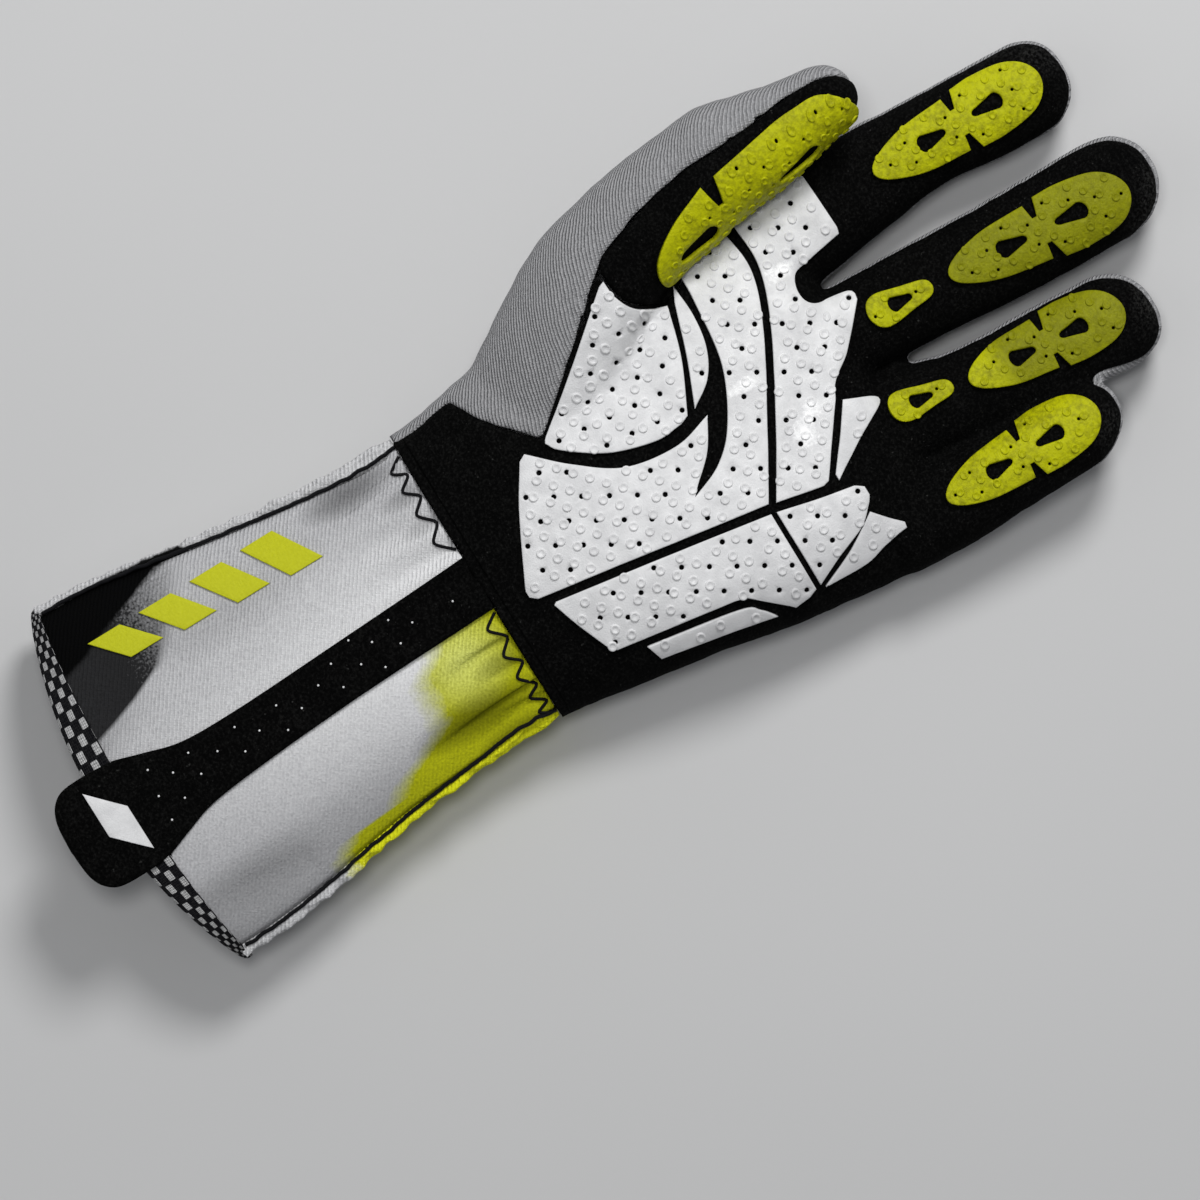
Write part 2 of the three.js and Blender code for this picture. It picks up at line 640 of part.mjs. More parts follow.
// The thumb's pad faces between up and the palm, so it is cut along its own direction, turned from upright.
// Its middle line is given across that direction, as shares of the palm's width.
const THUMB_PAD_SIDE = [
  [[0, 0], [0.48, 0.03], [0.78, 0.15], [0.93, 0.315]],
  [[0.93, 0.32], [0.43, 0.345]],
  [[0.43, 0.365], [0.92, 0.385]],
  [[0.92, 0.39], [0.89, 0.58], [0.85, 0.77], [0.68, 0.93], [0, 1]],
];
const THUMB_PAD_HOLES = [
  { low: 0.11, high: 0.3, lowWidth: 0.18, highWidth: 0.24, middle: 0 },
  { low: 0.6, high: 0.8, lowWidth: 0.1, highWidth: 0.2, middle: 0.08 },
];
const THUMB_PAD = { low: 0.44, high: 0.974, half: 11.2, turn: 56, from: -0.54, to: -0.607, behind: -0.28 };
function thumbPad() {
  const low = THUMB_HEEL + THUMB_PAD.low * THUMB_LENGTH;
  const length = (THUMB_PAD.high - THUMB_PAD.low) * THUMB_LENGTH;
  const place = (a, b) => [
    across(THREE.MathUtils.lerp(THUMB_PAD.from, THUMB_PAD.to, 1 - (1 - b) ** 2)) + a * THUMB_PAD.half,
    low + b * length,
  ];
  const outline = mirrored(THUMB_PAD_SIDE, place);
  const holes = THUMB_PAD_HOLES.map((h) => teardrop(h, place));
  return prism(outline, across(THUMB_PAD.behind), HIGH, holes).rotate([0, THUMB_PAD.turn, 0]);
}
const thumbLayer = tube(THUMB, GAP + PAD_THICKNESS).subtract(form(GAP));
add("pad_thumb", thumbLayer.intersect(thumbPad()), "rubber");

// Cuff walls, with a curved hem, split along the side seams
const cuffSurface = -CUFF_STEP;
const onCuff = (a, b) => [a * HEM_WIDTH, WRIST - b * CUFF_LENGTH];

// Everything above the hem's curve, moved up or down by a distance
function hemCut(distance, arc = HEM_ARC) {
  const edge = [-0.75, -0.5, -0.25, 0, 0.25, 0.5, 0.75].map(
    (a) => new THREE.Vector2(a * HEM_WIDTH, HEM + distance + arc * (2 * a) ** 2),
  );
  return prism([...edge, new THREE.Vector2(FAR, WRIST - GAP), new THREE.Vector2(-FAR, WRIST - GAP)]);
}

const FRONT_SEAMS = {
  thumb: [[-0.379, -0.02], [-0.372, 0.1], [-0.385, 0.24], [-0.415, 0.42], [-0.44, 0.56], [-0.475, 0.75], [-0.485, 0.9], [-0.487, 1.2]],
  little: [[0.379, -0.02], [0.374, 0.1], [0.39, 0.25], [0.41, 0.4], [0.435, 0.55], [0.46, 0.7], [0.475, 0.85], [0.478, 1.2]],
};
const seamLine = (side) => outlinePoints([FRONT_SEAMS[side]], onCuff);

// A plan strip of even width along a line
function strip(points, width) {
  const offset = (sign) =>
    points.map((p, i) => {
      const before = points[Math.max(0, i - 1)];
      const after = points[Math.min(points.length - 1, i + 1)];
      const way = after.clone().sub(before).normalize();
      return p.clone().add(new THREE.Vector2(-way.y, way.x).multiplyScalar((sign * width) / 2));
    });
  const loop = [...offset(1), ...offset(-1).reverse()];
  return THREE.ShapeUtils.isClockWise(loop) ? loop.reverse() : loop;
}

function openLine(side) {
  const knots = FRONT_SEAMS[side].map(([a, b]) => new THREE.Vector2(...onCuff(a, b)));
  return new THREE.SplineCurve(knots).getPoints(CURVE_STEPS * (knots.length - 1));
}

function frontSpace(clearance) {
  const left = openLine("thumb").map((p) => new THREE.Vector2(p.x - clearance, p.y));
  const right = openLine("little").map((p) => new THREE.Vector2(p.x + clearance, p.y));
  return prism([...left, ...right.reverse()].reverse(), CUFF_DEPTH / 2 - clearance, HIGH);
}

const bindingInset = BINDING_THICKNESS + GAP;
const cuffWall = layer(cuffSurface, cuffSurface - WALL).intersect(hemCut(bindingInset));
add("cuff_front", cuffWall.intersect(frontSpace(0)), "cloth");
add("cuff_back", cuffWall.subtract(frontSpace(GAP)), "cloth");

// Side seams on the front of the cuff
const overCuff = (thickness) => layer(cuffSurface + GAP + thickness, cuffSurface + GAP);
const seamCut = hemCut(BINDING_WIDTH + GAP, HEM_TOP_ARC).intersect(above(CUFF_DEPTH / 2));
for (const side of Object.keys(FRONT_SEAMS)) {
  const cord = prism(strip(openLine(side), SEAM_WIDTH));
  add(`side_seam_${side}`, overCuff(SEAM_THICKNESS).intersect(cord).intersect(seamCut), "cord");
}

// Tape folded round the hem
const tapeOuter = cuffSurface + GAP + BINDING_THICKNESS;
const tapeInner = cuffSurface - WALL - GAP;
const tape = layer(tapeOuter, tapeInner - BINDING_THICKNESS)
  .intersect(hemCut(0))
  .subtract(hemCut(BINDING_WIDTH, HEM_TOP_ARC))
  .subtract(layer(cuffSurface + GAP, tapeInner).intersect(hemCut(BINDING_THICKNESS)));
add("hem_tape", tape, "tape");

// Strap along the front of the cuff, its pull tab past the hem and the patch on the tab
const STRAP_SIDES = [
  [[-0.056, 0.01], [-0.05, 0.15], [-0.038, 0.4], [-0.03, 0.62], [-0.034, 0.76], [-0.06, 0.85], [-0.085, 0.93], [-0.086, 1]],
  [[0.193, 1], [0.19, 0.93], [0.165, 0.86], [0.135, 0.77], [0.118, 0.62], [0.103, 0.4], [0.093, 0.15], [0.09, 0.01]],
];
const strapOutline = outlinePoints(STRAP_SIDES, onCuff);
const strapCut = hemCut(BINDING_WIDTH + GAP, HEM_TOP_ARC).intersect(above(CUFF_DEPTH / 2));
add("strap", overCuff(STRAP_THICKNESS).intersect(prism(strapOutline)).intersect(strapCut), "leather");

const TAB_TOP = WRIST - 0.9 * CUFF_LENGTH;
const TAB_END = HEM - TAB_LENGTH;
const onTab = (a, b) => [a * HEM_WIDTH, THREE.MathUtils.lerp(TAB_TOP, TAB_END, b)];
const TAB_OUTLINE = [
  [[-0.077, 0], [-0.086, 0.25], [-0.086, 0.68], [-0.065, 0.87], [-0.02, 0.97], [0.053, 1]],
  [[0.053, 1], [0.13, 0.97], [0.172, 0.87], [0.193, 0.68], [0.193, 0.25], [0.182, 0]],
];
const tabUnder = cuffSurface + GAP + Math.max(STRAP_THICKNESS, BINDING_THICKNESS) + GAP;
const tabFace = tabUnder + TAB_THICKNESS;
const upper = above(CUFF_DEPTH / 2);
const tabSolid = layer(tabFace, tabUnder).intersect(prism(outlinePoints(TAB_OUTLINE, onTab))).intersect(upper);
add("pull_tab", tabSolid, "leather");

const PATCH_OUTLINE = [
  [[-0.052, 0.55], [0.073, 0.545]],
  [[0.073, 0.545], [0.154, 0.195]],
  [[0.154, 0.195], [0.031, 0.2]],
];
const patchLayer = layer(tabFace + GAP + PATCH_THICKNESS, tabFace + GAP);
const patchCut = prism(outlinePoints(PATCH_OUTLINE, onTab)).intersect(upper);
add("tab_patch", patchLayer.intersect(patchCut), "grip");

// Slanted accent bars on the cuff, each a little shorter than the one above
const BARS = { count: 4, left: -0.36, width: 0.12, from: 0.27, pitch: 0.135, height: 0.085, slant: 0.07, shorten: 0.1 };
for (let i = 0; i < BARS.count; i++) {
  const top = BARS.from + i * BARS.pitch;
  const width = BARS.width * (1 - i * BARS.shorten);
  const corners = [
    [BARS.left, top + BARS.slant],
    [BARS.left + width, top],
    [BARS.left + width, top + BARS.height],
    [BARS.left, top + BARS.height + BARS.slant],
  ];
  const bar = prism(corners.map(([a, b]) => new THREE.Vector2(...onCuff(a, b))).reverse());
  add(`accent_bar_${i + 1}`, overCuff(BAR_THICKNESS).intersect(bar).intersect(upper), "rubber");
}

// The origin is on the ground under the middle of the glove.
const box = new THREE.Box3().setFromObject(glove);
glove.position.set(-(box.min.x + box.max.x) / 2, -(box.min.y + box.max.y) / 2, -box.min.z);

export default glove;
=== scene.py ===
"""Dresses the karting glove. Lengths are in millimetres on the hand and become metres in each finished mesh."""

import functools
import math

import bmesh
import bpy
from mathutils import Matrix, Vector, kdtree, noise
from mathutils.bvhtree import BVHTree


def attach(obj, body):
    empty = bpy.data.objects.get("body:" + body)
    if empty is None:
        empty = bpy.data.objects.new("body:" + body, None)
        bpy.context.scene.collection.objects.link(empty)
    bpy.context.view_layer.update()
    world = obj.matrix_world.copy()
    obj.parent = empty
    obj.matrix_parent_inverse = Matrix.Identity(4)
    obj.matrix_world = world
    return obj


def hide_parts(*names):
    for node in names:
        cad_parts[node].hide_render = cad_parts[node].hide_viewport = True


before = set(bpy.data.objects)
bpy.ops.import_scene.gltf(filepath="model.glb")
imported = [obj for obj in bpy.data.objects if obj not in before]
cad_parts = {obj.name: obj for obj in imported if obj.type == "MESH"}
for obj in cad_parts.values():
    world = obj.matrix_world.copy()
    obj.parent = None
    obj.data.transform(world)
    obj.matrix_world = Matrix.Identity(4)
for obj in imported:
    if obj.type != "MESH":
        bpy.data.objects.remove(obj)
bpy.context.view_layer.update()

bl_info = {
    "name": "Karting glove",
    "version": (1, 0, 0),
    "blender": (4, 5, 0),
    "location": "3D View > Sidebar > Glove",
    "description": "Builds the cloth, leather, rubber and stitching of a karting glove",
    "category": "Object",
}

MM = 0.001
# Where the middle of the palm lies in the frame
MIDDLE = Vector((6.15625, -2.5, 0.0))

# Hand sizes, as in the part's source
PALM = 100.0
PALM_DEPTH = 36.0
PALM_CUP = 4.0
FINGER_DEPTH = 21.0
THUMB_LENGTH = 124.0
THUMB_WIDTH = 30.0
THUMB_DEPTH = 26.0
CUFF_LENGTH = 114.0
CUFF_DEPTH = 34.0
WRIST_WIDTH = 86.0
HEM_WIDTH = 105.0
HEM_ARC = 10.0
HEM_TOP_ARC = 4.0
CUFF_STEP = 1.3
BINDING_WIDTH = 8.5
WRIST = -0.38 * PALM
HEM = WRIST - CUFF_LENGTH
ROOTS = 0.78 * PALM
HEEL = -0.12 * PALM
BINDING_THICKNESS = 0.8
GAP = 0.3
TAB_THICKNESS = 2.4
TAB_LIFT = 1.6
SQUARENESS = 2.3
DOME = 2.2
TIP_BLUNTNESS = 0.985
# The seam between leather and cloth: its height over the middle, and its fall for each millimetre across
SEAM_LIFT = 3.0
FINGER_SEAM_LIFT = 1.6
SEAM_SLANT = 0.087
FINGER_SEAM_SLANT = 0.07
# How far cutting shapes reach past a fingertip, and the size of the skin's voxels
PAST_TIP = 5.0
VOXEL = 1.0
# Length along the hem and height of one check of the tape
CHECK_LENGTH = 2.85
CHECK_HEIGHT = 2.6
# The photograph's turn about Z in degrees, and the width in metres that it shows
PHOTO_TURN = 31.7
PHOTO_WIDTH = 0.312

# Hand sections: place, left, right, underside, top, palm hollow
HAND_ROWS = (
    (-0.28, -0.44, 0.443, -0.04, 0.95, 0),
    (-0.18, -0.457, 0.463, -0.04, 0.99, 0),
    (-0.05, -0.48, 0.483, -0.04, 1.02, 0.1),
    (0.1, -0.505, 0.51, -0.04, 1.04, 0.5),
    (0.25, -0.51, 0.543, -0.04, 1.02, 1),
    (0.4, -0.505, 0.565, -0.04, 0.95, 1),
    (0.55, -0.495, 0.585, -0.04, 0.87, 0.7),
    (0.68, -0.49, 0.6, -0.03, 0.79, 0.3),
    (0.74, -0.48, 0.6, 0.03, 0.7, 0),
    (0.775, -0.45, 0.57, 0.15, 0.55, 0),
)
# Cuff sections: share of the length from the wrist, share of the flare, depth
CUFF_ROWS = (
    (1.16, 0.86, 1),
    (0.97, 0.95, 1),
    (0.82, 0.97, 0.98),
    (0.66, 0.79, 0.95),
    (0.5, 0.47, 0.92),
    (0.35, 0.24, 0.9),
    (0.2, 0.08, 0.9),
    (0.08, 0, 0.93),
    (0, 0, 0.97),
)
# Fingers: root, length, width, tip offset, and rows of place, centre, width, underside, depth
FINGERS = {
    "index": (-0.335, 84.5, 26, 0, (
        (-0.21, 0.01, 1.15, 0, 1.28), (0.02, 0, 1.18, 0.05, 1.14), (0.26, -0.05, 1.08, 0.1, 1.05),
        (0.5, -0.06, 0.94, 0.14, 1), (0.67, -0.01, 0.98, 0.18, 0.98), (0.85, 0.02, 0.98, 0.24, 0.93))),
    "middle": (-0.033, 91, 28, 0.11, (
        (-0.2, 0, 0.95, -0.02, 1.3), (0.02, 0, 0.92, 0.02, 1.17), (0.24, 0.04, 0.92, 0.05, 1.1),
        (0.46, 0.095, 0.955, 0.1, 1.05), (0.68, 0.127, 0.98, 0.17, 1.02), (0.82, 0.14, 0.99, 0.22, 1))),
    "ring": (0.233, 72.5, 26.5, 0.31, (
        (-0.25, 0, 0.96, -0.02, 1.25), (0.03, 0, 1.01, 0, 1.12), (0.3, 0.16, 0.945, 0.03, 1.04),
        (0.58, 0.22, 0.975, 0.08, 1), (0.8, 0.275, 1, 0.15, 0.97))),
    "little": (0.485, 50.5, 22.5, -0.03, (
        (-0.35, 0, 0.99, 0.05, 1.2), (0.04, 0.03, 1.05, 0.25, 1.03), (0.34, 0.045, 0.98, 0.4, 0.95),
        (0.7, 0.065, 0.94, 0.48, 0.9))),
}
# How far the seam rises at each fingertip
TIP_RISES = {"index": 1.4, "middle": 3.0, "ring": 2.6, "little": 1.4}
# Thumb: place, centre, width, underside, depth
THUMB_ROWS = (
    (0, -0.27, 1.27, 0.08, 1.08), (0.14, -0.355, 1.43, 0.08, 1.38), (0.26, -0.445, 1.37, 0.23, 1.38),
    (0.38, -0.512, 1.18, 0.38, 1.3), (0.5, -0.556, 1.06, 0.54, 1.19), (0.6, -0.572, 1.02, 0.66, 1.09),
    (0.685, -0.586, 0.98, 0.75, 1), (0.775, -0.578, 0.86, 0.83, 0.9), (0.863, -0.576, 0.69, 0.89, 0.82),
    (0.911, -0.579, 0.61, 0.92, 0.77),
)
THUMB_TIP = -0.572
THUMB_WEB = 48.0

# Outlines are lists of stretches. A stretch is a smooth curve through its points.
# A stretch of two points is straight.
PALM_OUTLINE = (
    ((-70, -39), (-70, -30), (-44.5, -21)),
    ((-44.5, -21), (-34, -15.5), (-21, -4.7)),
    ((-21, -4.7), (-36, 13.5), (-50.5, 30.5)),
    ((-50.5, 30.5), (-49, 50), (-49, 76)),
    ((-60, 90), (80, 90)),
    ((80, 90), (80, -39)),
)
THUMB_OUTLINE = (
    ((-50, 30), (-53, 33), (-54.5, 38), (-58, 49), (-60.5, 62)),
    ((-60.5, 62), (-61, 80), (-63, 95), (-62.7, 104), (-60, 120)),
    ((-25, 120), (-25, 60)),
    ((-25, 60), (-35, 47), (-33.8, 41)),
    ((-33.8, 41), (-37.5, 34), (-43, 30.7), (-50, 30)),
)
GRIPS = {
    "thenar": (
        ((-47, 30), (-42, 30.5), (-37, 33.5), (-33.5, 41)),
        ((-33, 41), (-20, 37), (-6.5, 30.5)),
        ((-5.5, 28), (-5.2, 20), (-9, 8), (-16, -2), (-19.5, -4.5)),
        ((-20.5, -4), (-33, 12), (-46.5, 28.5)),
    ),
    "crescent": (
        ((-37, 45), (-28, 45.5), (-19, 44), (-12, 40), (-7, 33)),
        ((-7, 33), (-20, 38.5), (-33, 43)),
    ),
    "centre": (
        ((-20, -10.5), (-11, -1), (-3.5, 10), (-1.3, 24), (-4, 35)),
        ((-4, 35), (4, 30), (10, 23.5), (12.5, 21)),
        ((12.5, 21), (8.5, 30.5), (1, 38), (-13, 45), (-30, 47.5), (-38, 48)),
        ((-38, 48), (-41.5, 56), (-42.5, 63.5)),
        ((-42.5, 63.5), (-30, 64.5), (-15, 59), (8, 46), (24, 36.3)),
        ((24, 36.3), (21, 18), (17, -5), (13.5, -27)),
        ((12, -28.7), (10, -28.7)),
        ((10, -28.7), (-8, -19.5), (-19, -12.5)),
    ),
    "index": (
        ((-42.5, 66.7), (-44, 78), (-44.5, 88)),
        ((-43.5, 89), (-28, 89.5)),
        ((-26.5, 89), (-25, 80), (-23.5, 73.8), (-18.5, 71.7), (-14, 73.8), (-12, 83), (-10.5, 84.5)),
        ((-9, 84.2), (0, 75.5), (6, 68), (10, 65.5)),
        ((10, 65.5), (18, 59.5), (27, 52.8)),
        ((27.5, 51), (24.7, 38.2)),
        ((24.7, 38.2), (8, 48.5), (-15, 61.2), (-30, 66.7), (-42.5, 66.7)),
    ),
    "ring": (
        ((11, 67), (14, 73.5), (15.8, 75), (17.5, 73.5), (22, 65.5), (28.3, 55.2)),
        ((26.5, 55.2), (18, 62), (11, 67)),
    ),
    "little": (
        ((26.8, 37), (29.5, 48), (31.5, 58)),
        ((33, 60), (35.5, 60)),
        ((37, 59), (41.5, 54), (45, 45), (48.5, 37)),
    ),
    "edge": (
        ((39.3, 57.8), (43, 61), (46.5, 64.3)),
        ((48, 64), (48.7, 57), (50.2, 50), (49.7, 38)),
        ((49.5, 38), (45, 48.5), (39.3, 57.8)),
    ),
    "heel": (
        ((26.5, 35.5), (48.8, 35.5)),
        ((49.7, 33), (50, 28.5)),
        ((49, 27.5), (41.5, 19)),
        ((40.5, 16), (37.5, -2), (35.2, -16.5)),
        ((34, -18), (24, -22), (17, -24.3)),
        ((16.5, -23.5), (21, 4), (26.5, 35.5)),
    ),
    "side": (
        ((49.5, 23.5), (46.5, 10), (43, -8)),
        ((43, -8), (38.5, -9.5)),
        ((38.5, -9.5), (43, 15.5), (46, 20.5), (49.5, 23.5)),
    ),
}
# Half a pad, as shares of its half-width and length, and its teardrop slots: ends, half-widths and middle
PAD_SIDE = (
    ((0, 0), (0.4, 0.06), (0.74, 0.24), (0.865, 0.49)),
    ((0.865, 0.5), (0.42, 0.51)),
    ((0.42, 0.535), (0.97, 0.565)),
    ((0.97, 0.57), (1, 0.7), (0.87, 0.87), (0.52, 0.965), (0, 1)),
)
PAD_SLOTS = ((0.27, 0.435, 0.27, 0.13, 0), (0.595, 0.775, 0.13, 0.26, 0))
BASE_SIDE = (((0, 0), (0.75, 0.07), (1, 0.25), (0.75, 0.6), (0.5, 0.92), (0, 1)),)
BASE_SLOTS = ((0.32, 0.68, 0.45, 0.22, 0),)
THUMB_PAD_SIDE = (
    ((0, 0), (0.48, 0.03), (0.78, 0.15), (0.93, 0.315)),
    ((0.93, 0.32), (0.43, 0.345)),
    ((0.43, 0.365), (0.92, 0.385)),
    ((0.92, 0.39), (0.89, 0.58), (0.85, 0.77), (0.68, 0.93), (0, 1)),
)
THUMB_SLOTS = ((0.11, 0.3, 0.18, 0.24, 0), (0.6, 0.8, 0.1, 0.2, 0.08))
# Pads: finger, ends along the finger, centre at both ends and half-width in finger widths, small pad or not
PADS = (
    ("pad_index", "index", 0.318, 0.909, -0.045, -0.02, 0.321, False),
    ("pad_middle", "middle", 0.325, 0.89, 0.061, 0.214, 0.309, False),
    ("pad_ring", "ring", 0.272, 0.88, 0.045, 0.185, 0.302, False),
    ("pad_little", "little", -0.03, 0.869, -0.045, -0.045, 0.34, False),
    ("pad_middle_base", "middle", 0.067, 0.271, -0.01, 0.04, 0.16, True),
    ("pad_ring_base", "ring", -0.03, 0.216, -0.11, -0.02, 0.155, True),
)
THUMB_PAD = {"low": 0.44, "high": 0.974, "half": 11.2, "turn": 56, "from": -54.0, "to": -60.7}
# Cuff lines, as shares of the hem's width and of the cuff's length
SEAM_THUMB = ((-0.379, -0.02), (-0.372, 0.1), (-0.385, 0.24), (-0.415, 0.42), (-0.44, 0.56), (-0.475, 0.75),
              (-0.485, 0.9), (-0.487, 1.2))
SEAM_LITTLE = ((0.379, -0.02), (0.374, 0.1), (0.39, 0.25), (0.41, 0.4), (0.435, 0.55), (0.46, 0.7),
               (0.475, 0.85), (0.478, 1.2))
STRAP_SIDES = (
    ((-0.056, -0.002), (-0.05, 0.15), (-0.038, 0.4), (-0.03, 0.62), (-0.034, 0.76), (-0.06, 0.85), (-0.085, 0.93),
     (-0.086, 1)),
    ((0.193, 1), (0.19, 0.93), (0.165, 0.86), (0.135, 0.77), (0.118, 0.62), (0.103, 0.4), (0.093, 0.15),
     (0.09, -0.002)),
)
TAB_OUTLINE = (
    ((-0.077, 0), (-0.086, 0.25), (-0.086, 0.68), (-0.065, 0.87), (-0.02, 0.97), (0.053, 1)),
    ((0.053, 1), (0.13, 0.97), (0.172, 0.87), (0.193, 0.68), (0.193, 0.25), (0.182, 0)),
)
PATCH_OUTLINE = (
    ((-0.052, 0.55), (0.073, 0.545)),
    ((0.073, 0.545), (0.154, 0.195)),
    ((0.154, 0.195), (0.031, 0.2)),
)
TAB_TOP = WRIST - 0.9 * CUFF_LENGTH
TAB_END = HEM - 12.0
# Folds of the cuff's front: place across, top, bottom, lean to the right, width and height
FOLDS = (
    (33.5, -38, -78, 1, 2.6, -1.9), (27.5, -38, -64, 1, 2.4, 1.0), (20.5, -38, -58, 1, 2.6, -1.0),
    (38, -42, -84, 4, 1.8, 0.8), (-35.5, -41, -70, 0.5, 3.2, -2.2), (-29, -38, -62, 0, 2.4, 0.8),
    (-23, -38, -70, 3, 2.4, -0.7), (-16, -38, -64, 1, 2.6, 0.6), (40, -112, -148, -4, 4, -0.9),
    (30, -96, -148, 2, 5, 0.7), (-30, -84, -122, 9, 5, -0.6), (-20, -76, -130, 8, 6, 0.6),
)
# Light specks of the strap
STRAP_DOTS = (
    (2.7, -46), (1.6, -58), (-2.3, -63), (4.6, -63.4), (0.4, -69.6), (7.7, -70), (-3.2, -74.6), (3.8, -75),
    (-0.4, -81.6), (6.4, -82), (2.6, -87.3), (5.4, -94), (1.3, -99.3), (8.4, -100), (4.6, -106.4), (0.4, -111.4),
    (7.3, -112.3), (3.4, -118.4), (-0.2, -125), (6.2, -125), (2.1, -131), (9.2, -131.8), (-1.9, -136.2),
    (5.3, -137.3), (12.3, -137.6),
)
# Zigzag stitch on the cuff: corners from the thumb's side to the little finger's
ZIGZAG = (
    (-37, -34, -31.5, -28.5, -25, -21.5, -17, -13, -8.5),
    (10.5, 13.5, 17.5, 21.5, 25, 28, 32, 34, 37, 38.5, 40.5),
)


# Sizes and colours that a user may change


def length(name, text, value):
    settings = {"min": 0, "unit": "LENGTH", "precision": 5}
    return bpy.props.FloatProperty(name=name, description=text, default=value, **settings)


def colour(name, text, value):
    settings = {"subtype": "COLOR", "size": 4, "min": 0, "max": 1}
    return bpy.props.FloatVectorProperty(name=name, description=text, default=value, **settings)


class GloveSizes(bpy.types.PropertyGroup):
    """Thicknesses and fine sizes of the glove's cloth, leather and rubber"""

    wall: length("Cloth", "Thickness of the cloth, leather and lining together", 0.0016)
    seam_depth: length("Seam depth", "How far the seams between cloth and leather pull in", 0.0005)
    grip: length("Grip panels", "Thickness of the grip panels", 0.0008)
    pad: length("Rubber pads", "Thickness of the rubber pads", 0.0011)
    strap: length("Strap", "Thickness of the suede strap", 0.001)
    ring: length("Rings", "Outer diameter of the raised rings", 0.0026)
    ring_height: length("Ring height", "How far the rings stand up", 0.00045)
    hole: length("Holes", "Diameter of the holes in the grip panels", 0.0014)
    thread: length("Thread", "Diameter of the zigzag thread", 0.00085)
    gathers: length("Gathers", "Depth of the gathers below the wrist", 0.0012)


class GloveColours(bpy.types.PropertyGroup):
    """Colours of the glove's cloth, leather and rubber"""

    cloth: colour("Twill", "Undyed twill", (0.46, 0.46, 0.47, 1))
    cuff_cloth: colour("Cuff twill", "Undyed twill of the cuff", (0.6, 0.6, 0.61, 1))
    suede: colour("Suede", "Black suede", (0.0012, 0.0012, 0.0012, 1))
    grip: colour("Grip panels", "Off-white grip leather", (0.8, 0.8, 0.805, 1))
    rubber: colour("Rubber", "Yellow-green rubber", (0.47, 0.485, 0.0015, 1))
    dye_yellow: colour("Yellow dye", "Yellow zone of the cuff", (0.58, 0.6, 0.01, 1))
    dye_black: colour("Black dye", "Black zone of the cuff", (0.0012, 0.0012, 0.0013, 1))
    thread: colour("Thread", "Stitching and piping", (0.0018, 0.0018, 0.0026, 1))
    floor: colour("Floor", "Pale studio floor", (0.62, 0.62, 0.62, 1))


def sizes(name):
    return getattr(bpy.context.scene.glove_sizes, name) / MM


def tint(name):
    return tuple(getattr(bpy.context.scene.glove_colours, name))


# Sections and surfaces of the hand


def between(rows, y):
    """The row of a table at y, on a smooth curve through the rows."""
    k = 0
    while k < len(rows) - 2 and y > rows[k + 1][0]:
        k += 1
    a, b = rows[k], rows[k + 1]
    before, after = rows[max(k - 1, 0)], rows[min(k + 2, len(rows) - 1)]
    span = b[0] - a[0]
    t = min(max((y - a[0]) / span, 0.0), 1.0)
    out = [y]
    for i in range(1, len(a)):
        ma = (b[i] - before[i]) / (b[0] - before[0]) * span
        mb = (after[i] - a[i]) / (after[0] - a[0]) * span
        out.append(
            (2 * t**3 - 3 * t**2 + 1) * a[i]
            + (t**3 - 2 * t**2 + t) * ma
            + (3 * t**2 - 2 * t**3) * b[i]
            + (t**3 - t**2) * mb
        )
    return out


def body_rows():
    """Rows of y, centre, half-width, underside, top, hollow."""
    low = -0.04 * PALM_DEPTH
    flare = HEM_WIDTH / 2 + CUFF_STEP - WRIST_WIDTH / 2
    rows = [
        (WRIST - at * CUFF_LENGTH, 0, WRIST_WIDTH / 2 + share * flare, low, depth * CUFF_DEPTH, 0)
        for at, share, depth in CUFF_ROWS
    ]
    for at, left, right, under, top, cup in HAND_ROWS:
        rows.append(
            (at * PALM, (left + right) / 2 * PALM, (right - left) / 2 * PALM, under * PALM_DEPTH,
             top * PALM_DEPTH, cup * PALM_CUP)
        )
    return rows


def finger_rows(name):
    root, long, width, tip, table = FINGERS[name]
    rows = [
        (ROOTS + at * long, root * PALM + centre * width, half * width / 2, low * FINGER_DEPTH,
         (low + depth) * FINGER_DEPTH, 0)
        for at, centre, half, low, depth in table
    ]
    return rows, (root * PALM + tip * width, ROOTS + long)


def thumb_rows():
    rows = [
        (HEEL + at * THUMB_LENGTH, centre * PALM, half * THUMB_WIDTH / 2, low * THUMB_DEPTH,
         (low + depth) * THUMB_DEPTH, 0)
        for at, centre, half, low, depth in THUMB_ROWS
    ]
    return rows, (THUMB_TIP * PALM, HEEL + THUMB_LENGTH)


def oval(row, angle, grow=0.0):
    """A point of a section: a squared-off oval with the palm's hollow."""
    y, centre, half, low, top, cup = row
    power = 2 / SQUARENESS
    c, s = math.cos(angle), math.sin(angle)
    x = math.copysign(abs(c) ** power, c) * (half + grow)
    z = math.copysign(abs(s) ** power, s) * ((top - low) / 2 + grow)
    return Vector((centre + x, y, (low + top) / 2 + z - cup * max(0.0, s) ** 6))


def tip_row(rows, tip, share, grow):
    """A section of the round tip, share from its start to its end."""
    y, centre, half, low, top, cup = rows[-1]
    reach = tip[1] + grow - y
    s = share * TIP_BLUNTNESS
    shrink = (1 - s**DOME) ** (1 / DOME)
    middle = (low + top) / 2
    return (
        y + reach * share,
        centre + (tip[0] - centre) * share**2,
        (half + grow) * shrink,
        middle + (low - grow - middle) * shrink,
        middle + (top + grow - middle) * shrink,
        cup,
    )


# Meshes


